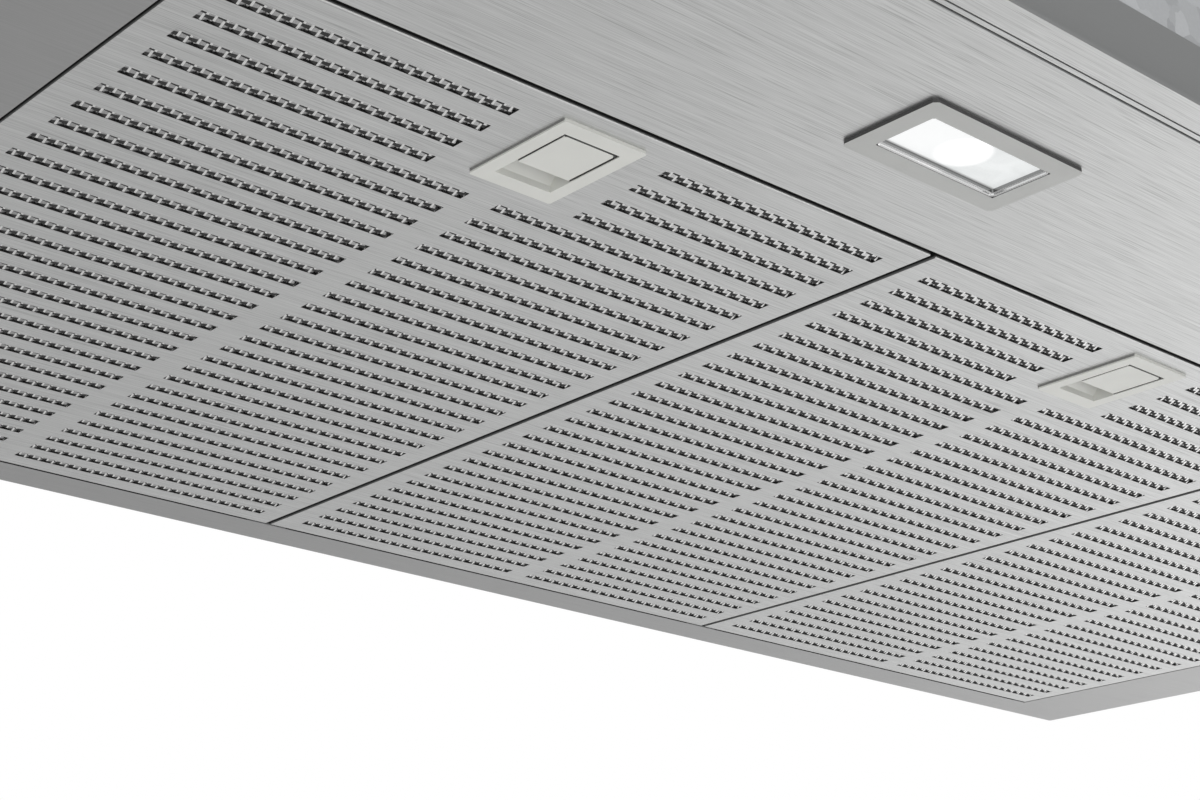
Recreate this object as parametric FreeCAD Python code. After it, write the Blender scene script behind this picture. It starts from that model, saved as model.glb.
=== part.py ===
import FreeCAD, Part
import math
import os

from FreeCAD import Vector

# A range hood insert that hangs in a cabinet: a stainless underside with three slotted grease
# filters, a front panel with two lamps and five push buttons, and a sheet housing with a blower and
# a duct collar.
# Millimetres. X runs to the right, Y to the rear and Z up. Heights here are measured from the flat
# underside; save() lowers every piece so that the origin is at the middle of the four hanger holes,
# on the top sheet.

# Overall sizes
HOOD_WIDTH = 891.0
HOOD_DEPTH = 511.0
BODY_HEIGHT = 290.0
FLANGE = 10.0
RIM_SHEET = 1.2
UPSTAND_TOP = 30.0

# Opening in the underside, and the front panel that closes its front part
OPENING_HALF = 394.5
OPENING_FRONT = -243.4
OPENING_REAR = 234.9
LIP_TOP = 12.0
LIP_SHEET = 1.0
GROOVE_Y = -245.3
GROOVE_WIDTH = 0.6
GROOVE_DEPTH = 0.5
PANEL_HALF = 394.0
PANEL_FRONT = -242.6
PANEL_REAR = -144.6
PANEL_SHEET = 1.2
PANEL_FOLD = 14.0
PANEL_BEND = 0.4

# Grease filters
FILTER_NAMES = ("left", "middle", "right")
FILTER_PITCH = 263.0
FILTER_WIDTH = 260.4
FILTER_FRONT = -142.4
FILTER_REAR = 233.7
FILTER_HEIGHT = 11.0
FILTER_SHEET = 0.6
FILTER_BEND = 0.4
SLOT_ROWS = 29
SLOT_PITCH = 12.5
SLOT_WIDTH = 4.6
FIRST_ROW = 13.7
SLOT_INNER = 5.6
SLOT_OUTER = 120.7
LATCH_ROWS = 4
LATCH_SLOT_INNER = 27.7
MESH_THICKNESS = 1.5
MESH_GAP = 0.8
TAB_WIDTH = 24.0
TAB_LENGTH = 7.8
TAB_SPACING = 150.0
TAB_BOTTOM = 1.5
TAB_THICKNESS = 1.0
BACK_WINDOW_COLUMNS = 2
BACK_WINDOW_ROWS = 3
BACK_BAR = 16.0

# Finger latch, measured from its own centre
LATCH_Y = -114.2
LATCH_WIDTH = 30.6
LATCH_LENGTH = 43.0
LATCH_PROUD = 1.0
LATCH_CUT_WIDTH = 26.0
LATCH_CUT_LENGTH = 36.6
LATCH_WALL = 1.6
POCKET_HALF_WIDTH = 10.4
POCKET_FRONT = -15.5
POCKET_REAR = 15.4
POCKET_STEP = 2.1
POCKET_TOP = 8.6
LATCH_ROOF = 9.8
FLAP_WIDTH = 18.8
FLAP_REAR = 6.1
FLAP_FACE = -0.9
FLAP_THICKNESS = 1.9
FLAP_CORNER = 1.2
PIVOT_Y = -13.65
PIVOT_Z = 0.05
TRUNNION_RADIUS = 0.7
TRUNNION_CLEARANCE = 0.06
CRANK_HEIGHT = 6.2
CRANK_RADIUS = 0.9
BOLT_HALF_WIDTH = 5.0
BOLT_BOTTOM = 4.2
BOLT_TOP = 8.2
BOLT_REACH = 1.8
BOLT_REAR = -9.6
SPRING_END = 3.4
SPRING_WIDTH = 4.0
SPRING_WIRE = 0.5
SPRING_FOLDS = 5

# Lamps in the front panel
LAMP_X = 178.5
LAMP_Y = -193.7
LAMP_WIDTH = 65.5
LAMP_DEPTH = 34.8
LAMP_PROUD = 1.2
LAMP_CORNER = 1.3
LAMP_OPEN_WIDTH = 51.5
LAMP_OPEN_DEPTH = 21.4
LAMP_NECK_WIDTH = 57.0
LAMP_NECK_DEPTH = 27.0
LAMP_NECK_TOP = 6.0
LENS_FACE = 1.0
LENS_THICKNESS = 2.0
LENS_CORNER = 0.8
CAN_TOP = 24.0
CAN_WALL = 1.0
LED_BOARD_SIZE = (40.0, 18.0, 1.2)
LED_SIZE = 7.0
LED_HEIGHT = 1.5

# Push buttons
BUTTON_NAMES = ("light", "off", "low", "medium", "high")
BUTTON_PITCH = 23.0
CONTROL_Y = -219.0
CONTROL_WIDTH = 128.0
CONTROL_DEPTH = 26.0
CONTROL_PROUD = 1.0
CONTROL_NECK_TOP = 5.0
BUTTON_WIDTH = 17.4
BUTTON_DEPTH = 11.4
BUTTON_GAP = 0.3
BUTTON_PROUD = 2.2
BUTTON_TOP = 5.1
BUTTON_TRAVEL = 2.0
STEM_SIZE = 5.0
STEM_TOP = 11.0
SWITCH_BOTTOM = 8.0
SWITCH_TOP = 24.0

# Channel over the front panel
CHANNEL_TOP = 72.0
CHANNEL_SHEET = 0.8
MODULE_X = -382.0
MODULE_Y = -196.0
MODULE_WIDTH = 90.0
MODULE_DEPTH = 54.0
MODULE_HEIGHT = 28.0

# Housing sheets
WALL_SHEET = 1.0
TOP_SHEET = 1.2
WALL_FOLD = 15.0
HANGER_X = 390.0
HANGER_Y = 200.0
HANGER_RADIUS = 4.5
SCREW_X = (-385.0, 0.0, 385.0)
SCREW_SHANK = 3.6
SCREW_HOLE = 3.8
SCREW_HEAD = 7.0
SCREW_HEAD_HEIGHT = 2.4
SCREW_LENGTH = 8.0

# Duct collar and damper
COLLAR_Y = 40.0
COLLAR_RADIUS = 99.5
COLLAR_WALL = 1.2
COLLAR_HEIGHT = 45.0
COLLAR_PLATE = 236.0
DAMPER_AXIS_X = 3.1
DAMPER_AXIS_Z = 3.2
DAMPER_PIN_RADIUS = 1.5
DAMPER_KNUCKLE_RADIUS = 2.8
DAMPER_KNUCKLE_SIDES = 8
DAMPER_KNUCKLE_HALF = 90.0
DAMPER_FLAP_RADIUS = 97.0
DAMPER_SIDES = 32
DAMPER_SHEET = 1.0
DAMPER_STOP = 3.0

# Blower
WHEEL_RADIUS = 90.0
WHEEL_HALF_WIDTH = 74.0
BLADE_ROOT_RADIUS = 75.0
BLADE_COUNT = 20
BLADE_SHEET = 1.0
BLADE_BOW = 3.0
BLADE_LEAN = 12.0
WHEEL_RING = 2.0
HUB_WIDTH = 24.0
SHAFT_RADIUS = 4.0
SHAFT_CLEARANCE = 0.05
SCROLL_Y = -39.5
SCROLL_Z = 150.0
SCROLL_HALF_WIDTH = 80.0
SCROLL_SHEET = 1.2
SCROLL_START_RADIUS = 106.0
SCROLL_GROWTH = 13.0
SCROLL_TONGUE_Y = 19.5
SCROLL_FLAT = 15
INLET_RADIUS = 71.0
INLET_SIDES = 24
MOTOR_STACK = 72.0
MOTOR_SHIELD = 58.0
MOTOR_CORNER = 16.0
BRACKET_PLATE = 60.0
MOTOR_END_X = -76.0
MOTOR_FACE_X = -6.0
ARM_WIDTH = 14.0
ARM_COUNT = 4
ARM_RADIUS = 87.0

# Supply connection
TERMINAL_X = -270.0
TERMINAL_Y = 160.0
TERMINAL_WIDTH = 120.0
TERMINAL_DEPTH = 80.0
TERMINAL_HEIGHT = 42.0
TERMINAL_WALL = 1.5
GLAND_HEIGHT = 22.0
GLAND_BORE = 5.5
GLAND_STUB = 15.0
RACEWAY_X = -270.0
RACEWAY_FRONT = -200.0
RACEWAY_WIDTH = 24.0
RACEWAY_DEPTH = 14.0
RACEWAY_SHEET = 0.8
LEAD_HOLE = 14.0
CAPACITOR_X = -180.0
CAPACITOR_Y = 60.0

UP = Vector(0, 0, 1)
ALONG_X = Vector(1, 0, 0)
ALONG_Y = Vector(0, 1, 0)
TOP_INNER = BODY_HEIGHT - TOP_SHEET
WALL_X = HOOD_WIDTH / 2 - FLANGE - RIM_SHEET
WALL_Y = HOOD_DEPTH / 2 - FLANGE - RIM_SHEET


def block(x, y, z):
    """A box from its (low, high) pair on each axis."""
    return Part.makeBox(x[1] - x[0], y[1] - y[0], z[1] - z[0], Vector(x[0], y[0], z[0]))


def centred(middle, width):
    """The (low, high) pair of a width about a middle."""
    return (middle - width / 2, middle + width / 2)


def eased(x, y, z, corner, edge=0.0):
    """A box with its upright corners cut, and, where an edge is given, its lower outline cut too."""
    box = block(x, y, z)
    upright = [line for line in box.Edges if line.BoundBox.ZLength > (z[1] - z[0]) / 2]
    box = box.makeChamfer(corner, upright)
    if edge:
        lower = [line for line in box.Edges if line.BoundBox.ZMax < z[0] + 1e-6]
        box = box.makeChamfer(edge, lower)
    return box


def round_bottom(shape, radius):
    """Rounds the front and rear edges of a tray's lowest face, where its sheet is bent up."""
    low = shape.BoundBox.ZMin
    lowest = [edge.BoundBox for edge in shape.Edges if edge.BoundBox.ZMax < low + 1e-6]
    along_x = max(box.XLength for box in lowest)
    bent = [
        edge
        for edge in shape.Edges
        if edge.BoundBox.ZMax < low + 1e-6 and edge.BoundBox.XLength > along_x / 2
    ]
    return shape.makeFillet(radius, bent)


def rod(radius, start, direction, length):
    """A cylinder from a start point."""
    return Part.makeCylinder(radius, length, start, direction)


def tube(outer, inner, start, direction, length):
    """A round tube from a start point."""
    return rod(outer, start, direction, length).cut(rod(inner, start, direction, length))


def side_profile(points, x):
    """A closed outline of (y, z) points, carried along X over a (low, high) pair."""
    corners = [Vector(x[0], py, pz) for py, pz in points]
    face = Part.Face(Part.makePolygon(corners + corners[:1]))
    return face.extrude(Vector(x[1] - x[0], 0, 0))


def plan_profile(points, z):
    """A closed outline of (x, y) points, carried up over a (low, high) pair."""
    corners = [Vector(px, py, z[0]) for px, py in points]
    face = Part.Face(Part.makePolygon(corners + corners[:1]))
    return face.extrude(Vector(0, 0, z[1] - z[0]))


def hexagon(across_flats, x, centre_y, centre_z):
    """A hexagonal prism along X."""
    corner = across_flats / math.sqrt(3)
    points = []
    for index in range(6):
        spoke = on_circle(corner, 60 * index)
        points.append((centre_y + spoke.y, centre_z + spoke.z))
    return side_profile(points, x)


def hexagon_post(across_flats, x, y, z):
    """An upright hexagonal prism."""
    corner = across_flats / math.sqrt(3)
    angles = [math.radians(60 * index) for index in range(6)]
    points = [(x + corner * math.cos(angle), y + corner * math.sin(angle)) for angle in angles]
    return plan_profile(points, z)


def joined(shapes):
    """Shapes fused into one, without the seams between their flat faces."""
    return shapes[0].multiFuse(shapes[1:]).removeSplitter()


def save(name, *solids):
    """Writes one node, lowered so that the origin is at the hanger holes."""
    shape = solids[0] if len(solids) == 1 else Part.makeCompound(list(solids))
    lowered = shape.copy()
    lowered.translate(Vector(0, 0, -BODY_HEIGHT))
    lowered.exportStep("parts/" + name + ".step")
    for solid in lowered.Solids:
        if not solid.isValid() or solid.Volume <= 0:
            print("bad solid in", name)


def filter_centre(index):
    """The X of a filter's centreline."""
    return (index - 1) * FILTER_PITCH


# Underside


def underside_frame():
    """One folded sheet: a flat rim, an upstand inside its flange, and lips round the opening."""
    half_width = HOOD_WIDTH / 2
    half_depth = HOOD_DEPTH / 2
    rim = eased((-half_width, half_width), (-half_depth, half_depth), (0, RIM_SHEET), 0.8)
    opening = block((-OPENING_HALF, OPENING_HALF), (OPENING_FRONT, OPENING_REAR), (-1, LIP_TOP + 1))
    upstand_x = half_width - FLANGE
    upstand_y = half_depth - FLANGE
    upstand = block((-upstand_x, upstand_x), (-upstand_y, upstand_y), (RIM_SHEET / 2, UPSTAND_TOP))
    inside = block((-WALL_X, WALL_X), (-WALL_Y, WALL_Y), (0, UPSTAND_TOP + 1))
    lips = block(
        (-OPENING_HALF - LIP_SHEET, OPENING_HALF + LIP_SHEET),
        (-WALL_Y, OPENING_REAR + LIP_SHEET),
        (RIM_SHEET / 2, LIP_TOP),
    )
    wall_inner = WALL_SHEET - WALL_Y
    front_cut = block((-WALL_X, WALL_X), (-WALL_Y - 1, wall_inner), (RIM_SHEET, LIP_TOP + 1))
    frame = joined([rim, upstand.cut(inside), lips.cut(front_cut)]).cut(opening)
    dimples = [
        block(sorted((side * PANEL_HALF, side * (OPENING_HALF + LIP_SHEET / 2))), centred(y, 10), (4, 9))
        for side in (-1, 1)
        for y in (PANEL_FRONT + 20, PANEL_REAR - 20)
    ]
    frame = joined([frame] + dimples)
    groove = block(
        (-OPENING_HALF, OPENING_HALF), centred(GROOVE_Y, GROOVE_WIDTH), (-1, GROOVE_DEPTH)
    )
    cuts = [groove]
    for index in range(len(FILTER_NAMES)):
        for side in (-1, 1):
            tab_x = filter_centre(index) + side * TAB_SPACING / 2
            cuts.append(
                block(
                    centred(tab_x, TAB_WIDTH + 6),
                    (OPENING_REAR - 1, OPENING_REAR + LIP_SHEET + 1),
                    (RIM_SHEET, LIP_TOP + 1),
                )
            )
    return frame.cut(Part.makeCompound(cuts))


def light_panel():
    """A tray with its folds upward, holes for lamps and buttons, and a strike window per latch."""
    x = (-PANEL_HALF, PANEL_HALF)
    y = (PANEL_FRONT, PANEL_REAR)
    tray = round_bottom(block(x, y, (0, PANEL_FOLD)), PANEL_BEND)
    hollow = block(
        (x[0] + PANEL_SHEET, x[1] - PANEL_SHEET),
        (y[0] + PANEL_SHEET, y[1] - PANEL_SHEET),
        (PANEL_SHEET, PANEL_FOLD + 1),
    )
    cuts = [hollow]
    for side in (-1, 1):
        cuts.append(
            block(
                centred(side * LAMP_X, LAMP_NECK_WIDTH + 0.6),
                centred(LAMP_Y, LAMP_NECK_DEPTH + 0.6),
                (-1, PANEL_SHEET + 1),
            )
        )
    cuts.append(
        block(
            centred(0, CONTROL_WIDTH - 6),
            centred(CONTROL_Y, CONTROL_DEPTH - 6),
            (-1, PANEL_SHEET + 1),
        )
    )
    for index in range(len(FILTER_NAMES)):
        cuts.append(
            block(
                centred(filter_centre(index), 2 * BOLT_HALF_WIDTH + 4),
                (PANEL_REAR - PANEL_SHEET - 1, PANEL_REAR + 1),
                (BOLT_BOTTOM - 0.8, BOLT_TOP + 0.8),
            )
        )
    return tray.cut(Part.makeCompound(cuts))


def channel_cover():
    """An upturned tray over the front panel that keeps the air path away from the electrics."""
    x = (-PANEL_HALF, PANEL_HALF)
    y = (PANEL_FRONT, PANEL_REAR)
    cover = block(x, y, (PANEL_FOLD, CHANNEL_TOP))
    hollow = block(
        (x[0] + CHANNEL_SHEET, x[1] - CHANNEL_SHEET),
        (y[0] + CHANNEL_SHEET, y[1] - CHANNEL_SHEET),
        (PANEL_FOLD - 1, CHANNEL_TOP - CHANNEL_SHEET),
    )
    mouth = block(
        centred(RACEWAY_X, RACEWAY_WIDTH),
        (RACEWAY_FRONT, RACEWAY_FRONT + RACEWAY_DEPTH),
        (CHANNEL_TOP - 5, CHANNEL_TOP + 5),
    )
    return cover.cut(hollow).cut(mouth)


# Grease filters


def slot_cutters(centre):
    """One box per slot: two columns of equal rows, the first rows shortened beside the latch."""
    cutters = []
    for row in range(SLOT_ROWS):
        y = centred(FILTER_FRONT + FIRST_ROW + row * SLOT_PITCH, SLOT_WIDTH)
        inner = LATCH_SLOT_INNER if row < LATCH_ROWS else SLOT_INNER
        z = (-1, FILTER_SHEET + 1)
        cutters.append(block((centre - SLOT_OUTER, centre - inner), y, z))
        cutters.append(block((centre + inner, centre + SLOT_OUTER), y, z))
    return cutters


def filter_face(centre):
    """The slotted pan of a filter, with its latch opening, bolt window and rear hook tabs."""
    x = centred(centre, FILTER_WIDTH)
    y = (FILTER_FRONT, FILTER_REAR)
    pan = round_bottom(block(x, y, (0, FILTER_HEIGHT)), FILTER_BEND)
    hollow = block(
        (x[0] + FILTER_SHEET, x[1] - FILTER_SHEET),
        (y[0] + FILTER_SHEET, y[1] - FILTER_SHEET),
        (FILTER_SHEET, FILTER_HEIGHT + 1),
    )
    latch_opening = block(
        centred(centre, LATCH_CUT_WIDTH), centred(LATCH_Y, LATCH_CUT_LENGTH), (-1, FILTER_SHEET + 1)
    )
    bolt_window = block(
        centred(centre, 2 * BOLT_HALF_WIDTH + 0.8),
        (FILTER_FRONT - 1, FILTER_FRONT + FILTER_SHEET + 1),
        (BOLT_BOTTOM - 0.3, BOLT_TOP + 0.3),
    )
    pan = pan.cut(Part.makeCompound([hollow, latch_opening, bolt_window] + slot_cutters(centre)))
    tabs = [
        block(
            centred(centre + side * TAB_SPACING / 2, TAB_WIDTH),
            (FILTER_REAR - FILTER_SHEET / 2, FILTER_REAR + TAB_LENGTH),
            (TAB_BOTTOM, TAB_BOTTOM + TAB_THICKNESS),
        )
        for side in (-1, 1)
    ]
    return joined([pan] + tabs)


def filter_mesh(centre):
    """The mesh pack, a thin sheet just behind the slots, notched round the latch."""
    margin = FILTER_SHEET + 0.3
    bottom = FILTER_SHEET + MESH_GAP
    sheet = block(
        centred(centre, FILTER_WIDTH - 2 * margin),
        (FILTER_FRONT + margin, FILTER_REAR - margin),
        (bottom, bottom + MESH_THICKNESS),
    )
    notch = block(
        centred(centre, LATCH_CUT_WIDTH + 1),
        (FILTER_FRONT - 1, LATCH_Y + LATCH_CUT_LENGTH / 2 + 0.5),
        (0, FILTER_HEIGHT),
    )
    return sheet.cut(notch)


def filter_back(centre):
    """The back sheet that closes the pan, with rows of windows for the air."""
    margin = FILTER_SHEET + 0.1
    x = centred(centre, FILTER_WIDTH - 2 * margin)
    y = (FILTER_FRONT + margin, FILTER_REAR - margin)
    sheet = block(x, y, (FILTER_HEIGHT - FILTER_SHEET, FILTER_HEIGHT))
    first = LATCH_Y + LATCH_LENGTH / 2 + BACK_BAR / 2
    depth = (y[1] - BACK_BAR - first) / BACK_WINDOW_ROWS - BACK_BAR
    width = (x[1] - x[0] - BACK_BAR) / BACK_WINDOW_COLUMNS - BACK_BAR
    windows = []
    for row in range(BACK_WINDOW_ROWS):
        low_y = first + BACK_BAR + row * (depth + BACK_BAR)
        for column in range(BACK_WINDOW_COLUMNS):
            low_x = x[0] + BACK_BAR + column * (width + BACK_BAR)
            windows.append(
                block((low_x, low_x + width), (low_y, low_y + depth), (0, FILTER_HEIGHT + 1))
            )
    return sheet.cut(Part.makeCompound(windows))


def latch_bezel(centre):
    """The latch moulding: a raised frame, and a box behind it with a finger pocket at the rear."""
    frame = eased(
        centred(centre, LATCH_WIDTH), centred(LATCH_Y, LATCH_LENGTH), (-LATCH_PROUD, 0), 0.5
    )
    half_box = POCKET_HALF_WIDTH + LATCH_WALL
    box = block(
        (centre - half_box, centre + half_box),
        (LATCH_Y + POCKET_FRONT - LATCH_WALL, LATCH_Y + POCKET_REAR + LATCH_WALL),
        (-LATCH_PROUD / 2, LATCH_ROOF),
    )
    ramp_start = POCKET_STEP - LATCH_PROUD
    ramp_run = POCKET_TOP - ramp_start
    cavity = side_profile(
        [
            (LATCH_Y + POCKET_FRONT, -LATCH_PROUD - 1),
            (LATCH_Y + POCKET_REAR, -LATCH_PROUD - 1),
            (LATCH_Y + POCKET_REAR, ramp_start),
            (LATCH_Y + POCKET_REAR - ramp_run, POCKET_TOP),
            (LATCH_Y + POCKET_FRONT, POCKET_TOP),
        ],
        (centre - POCKET_HALF_WIDTH, centre + POCKET_HALF_WIDTH),
    )
    bolt_way = block(
        centred(centre, 2 * BOLT_HALF_WIDTH + 0.4),
        (LATCH_Y + POCKET_FRONT - LATCH_WALL - 1, LATCH_Y + POCKET_FRONT + 1),
        (BOLT_BOTTOM - 0.2, BOLT_TOP + 0.2),
    )
    seat = 2 * (TRUNNION_RADIUS + TRUNNION_CLEARANCE)
    seats = block(
        centred(centre, 2 * POCKET_HALF_WIDTH + 2),
        centred(LATCH_Y + PIVOT_Y, seat),
        centred(PIVOT_Z, seat),
    )
    rib = block(
        centred(centre, 2 * BOLT_HALF_WIDTH),
        (LATCH_Y + SPRING_END + 0.1, LATCH_Y + SPRING_END + 1.3),
        (BOLT_BOTTOM, LATCH_ROOF),
    )
    moulding = joined([frame, box]).cut(Part.makeCompound([cavity, bolt_way]))
    return joined([moulding, rib]).cut(seats)


def latch_flap(centre):
    """The pull flap: a plate with cut corners and a barrel edge on two trunnions, and a crank arm."""
    pivot_y = LATCH_Y + PIVOT_Y
    half = FLAP_WIDTH / 2
    plate = block(
        (centre - half, centre + half),
        (pivot_y, LATCH_Y + FLAP_REAR),
        (FLAP_FACE, FLAP_FACE + FLAP_THICKNESS),
    )
    barrel = rod(FLAP_THICKNESS / 2, Vector(centre - half, pivot_y, PIVOT_Z), ALONG_X, FLAP_WIDTH)
    front = pivot_y - FLAP_THICKNESS / 2
    corners = [
        plan_profile(
            [
                (centre + side * (half + 0.1), front - 0.1),
                (centre + side * (half + 0.1), front + FLAP_CORNER),
                (centre + side * (half - FLAP_CORNER), front - 0.1),
            ],
            (FLAP_FACE - 1, FLAP_FACE + FLAP_THICKNESS + 1),
        )
        for side in (-1, 1)
    ]
    plate = joined([plate, barrel]).cut(Part.makeCompound(corners))
    across_flats = TRUNNION_RADIUS * math.sqrt(3)
    trunnions = hexagon(across_flats, centred(centre, FLAP_WIDTH + 3.6), pivot_y, PIVOT_Z)
    top = PIVOT_Z + CRANK_HEIGHT
    arm = block(centred(centre, 4.0), centred(pivot_y, 1.5), (PIVOT_Z, top))
    knob = hexagon(CRANK_RADIUS * math.sqrt(3), centred(centre, 4.0), pivot_y, top)
    return joined([plate, trunnions, arm, knob])


def latch_bolt(centre):
    """The sliding bolt, from its nose in front of the filter to the slot that the crank works in."""
    nose_y = FILTER_FRONT - BOLT_REACH
    rear_y = LATCH_Y + BOLT_REAR
    bar = side_profile(
        [
            (nose_y, BOLT_BOTTOM + 1.6),
            (nose_y + 1.6, BOLT_BOTTOM),
            (rear_y, BOLT_BOTTOM),
            (rear_y, BOLT_TOP),
            (nose_y, BOLT_TOP),
        ],
        (centre - BOLT_HALF_WIDTH, centre + BOLT_HALF_WIDTH),
    )
    slot_half = CRANK_RADIUS + 0.35
    slot = block(
        centred(centre, 4.8),
        (LATCH_Y + PIVOT_Y - slot_half, LATCH_Y + PIVOT_Y + slot_half),
        (BOLT_BOTTOM - 1, BOLT_TOP - 0.6),
    )
    relief = block(
        centred(centre, 4.8),
        (LATCH_Y + PIVOT_Y - slot_half - 0.8, LATCH_Y + PIVOT_Y),
        (BOLT_BOTTOM - 1, BOLT_BOTTOM + 0.8),
    )
    return bar.cut(Part.makeCompound([slot, relief]))


def latch_spring(centre):
    """A folded leaf spring between the bolt and the rib in the latch's roof."""
    start = LATCH_Y + BOLT_REAR + 0.1
    end = LATCH_Y + SPRING_END
    step = (end - start) / SPRING_FOLDS
    low, high = BOLT_BOTTOM + 0.4, BOLT_TOP - SPRING_WIRE - 0.4
    under_side = []
    upper_side = []
    for fold in range(SPRING_FOLDS + 1):
        height = low if fold % 2 == 0 else high
        under_side.append((start + fold * step, height))
        upper_side.append((start + fold * step, height + SPRING_WIRE))
    return side_profile(under_side + upper_side[::-1], centred(centre, SPRING_WIDTH))


# Lamps and buttons


def light_bezel(centre):
    """A raised frame with a neck through the panel, and a seat for the lens inside it."""
    frame = eased(
        centred(centre, LAMP_WIDTH), centred(LAMP_Y, LAMP_DEPTH), (-LAMP_PROUD, 0), LAMP_CORNER
    )
    neck = block(
        centred(centre, LAMP_NECK_WIDTH),
        centred(LAMP_Y, LAMP_NECK_DEPTH),
        (-LAMP_PROUD / 2, LAMP_NECK_TOP),
    )
    opening = block(
        centred(centre, LAMP_OPEN_WIDTH),
        centred(LAMP_Y, LAMP_OPEN_DEPTH),
        (-LAMP_PROUD - 1, LAMP_NECK_TOP + 1),
    )
    seat = block(
        centred(centre, LAMP_OPEN_WIDTH + 2),
        centred(LAMP_Y, LAMP_OPEN_DEPTH + 2),
        (LENS_FACE + LENS_THICKNESS / 2, LAMP_NECK_TOP + 1),
    )
    return joined([frame, neck]).cut(Part.makeCompound([opening, seat]))


def light_lens(centre):
    """The frosted lens: a raised face with cut corners on a wider flange."""
    face = eased(
        centred(centre, LAMP_OPEN_WIDTH - 0.4),
        centred(LAMP_Y, LAMP_OPEN_DEPTH - 0.4),
        (LENS_FACE, LENS_FACE + LENS_THICKNESS),
        LENS_CORNER,
    )
    flange = block(
        centred(centre, LAMP_OPEN_WIDTH + 1.6),
        centred(LAMP_Y, LAMP_OPEN_DEPTH + 1.6),
        (LENS_FACE + LENS_THICKNESS / 2, LENS_FACE + LENS_THICKNESS),
    )
    return joined([face, flange])


def light_can(centre):
    """The lamp's can, open downward over the lens."""
    x = centred(centre, LAMP_NECK_WIDTH)
    y = centred(LAMP_Y, LAMP_NECK_DEPTH)
    can = block(x, y, (LAMP_NECK_TOP, CAN_TOP))
    hollow = block(
        (x[0] + CAN_WALL, x[1] - CAN_WALL),
        (y[0] + CAN_WALL, y[1] - CAN_WALL),
        (LAMP_NECK_TOP - 1, CAN_TOP - CAN_WALL),
    )
    return can.cut(hollow)


def led_board(centre):
    """A small board under the can's roof with one LED."""
    width, depth, thickness = LED_BOARD_SIZE
    top = CAN_TOP - CAN_WALL
    board = block(centred(centre, width), centred(LAMP_Y, depth), (top - thickness, top))
    face = top - thickness
    led = block(centred(centre, LED_SIZE), centred(LAMP_Y, LED_SIZE), (face - LED_HEIGHT, face))
    return joined([board, led])


def button_centre(index):
    """The X of a push button."""
    return (index - (len(BUTTON_NAMES) - 1) / 2) * BUTTON_PITCH


def control_bezel():
    """The raised plate round the push buttons, with a short neck through the panel."""
    plate = eased(
        centred(0, CONTROL_WIDTH), centred(CONTROL_Y, CONTROL_DEPTH), (-CONTROL_PROUD, 0), 1.2
    )
    neck = block(
        centred(0, CONTROL_WIDTH - 6.6),
        centred(CONTROL_Y, CONTROL_DEPTH - 6.6),
        (-CONTROL_PROUD / 2, CONTROL_NECK_TOP),
    )
    windows = [
        block(
            centred(button_centre(index), BUTTON_WIDTH + 2 * BUTTON_GAP),
            centred(CONTROL_Y, BUTTON_DEPTH + 2 * BUTTON_GAP),
            (-CONTROL_PROUD - 1, 6.0),
        )
        for index in range(len(BUTTON_NAMES))
    ]
    return joined([plate, neck]).cut(Part.makeCompound(windows))


def push_button(centre):
    """A button cap with the flange that keeps it in its window, and its stem."""
    cap = eased(
        centred(centre, BUTTON_WIDTH),
        centred(CONTROL_Y, BUTTON_DEPTH),
        (-BUTTON_PROUD, BUTTON_TOP),
        0.6,
        0.5,
    )
    flange = block(
        centred(centre, BUTTON_WIDTH + 2 * BUTTON_GAP + 1.6),
        centred(CONTROL_Y, BUTTON_DEPTH + 2 * BUTTON_GAP + 1.6),
        (BUTTON_TOP, BUTTON_TOP + 0.7),
    )
    stem = block(
        centred(centre, STEM_SIZE), centred(CONTROL_Y, STEM_SIZE), (BUTTON_TOP - 1, STEM_TOP)
    )
    return joined([cap, flange, stem])


def switch_block():
    """The row of switches behind the buttons, with a shaft for each stem and a foot at each end."""
    body = block(
        centred(0, CONTROL_WIDTH - 8), centred(CONTROL_Y, CONTROL_DEPTH - 8), (SWITCH_BOTTOM, SWITCH_TOP)
    )
    shafts = [
        block(
            centred(button_centre(index), STEM_SIZE + 0.6),
            centred(CONTROL_Y, STEM_SIZE + 0.6),
            (SWITCH_BOTTOM - 1, STEM_TOP + BUTTON_TRAVEL + 0.5),
        )
        for index in range(len(BUTTON_NAMES))
    ]
    feet = [
        block(
            centred(side * (CONTROL_WIDTH / 2 - 5.5), 3.0),
            centred(CONTROL_Y, CONTROL_DEPTH - 8),
            (CONTROL_NECK_TOP, SWITCH_BOTTOM),
        )
        for side in (-1, 1)
    ]
    return joined([body] + feet).cut(Part.makeCompound(shafts))


def control_module():
    """The electronics box under the channel's roof, with its connector row."""
    roof = CHANNEL_TOP - CHANNEL_SHEET
    x = (MODULE_X, MODULE_X + MODULE_WIDTH)
    y = centred(MODULE_Y, MODULE_DEPTH)
    case = eased(x, y, (roof - MODULE_HEIGHT, roof - 1), 2.0)
    connectors = block(
        (x[1] - 2, x[1] + 8), centred(MODULE_Y, MODULE_DEPTH - 20), (roof - MODULE_HEIGHT + 5, roof - 9)
    )
    foot = block((x[0] - 3, x[1] + 3), (y[0] - 4, y[1] + 4), (roof - 1.5, roof))
    return joined([case, connectors, foot])


# Housing


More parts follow.
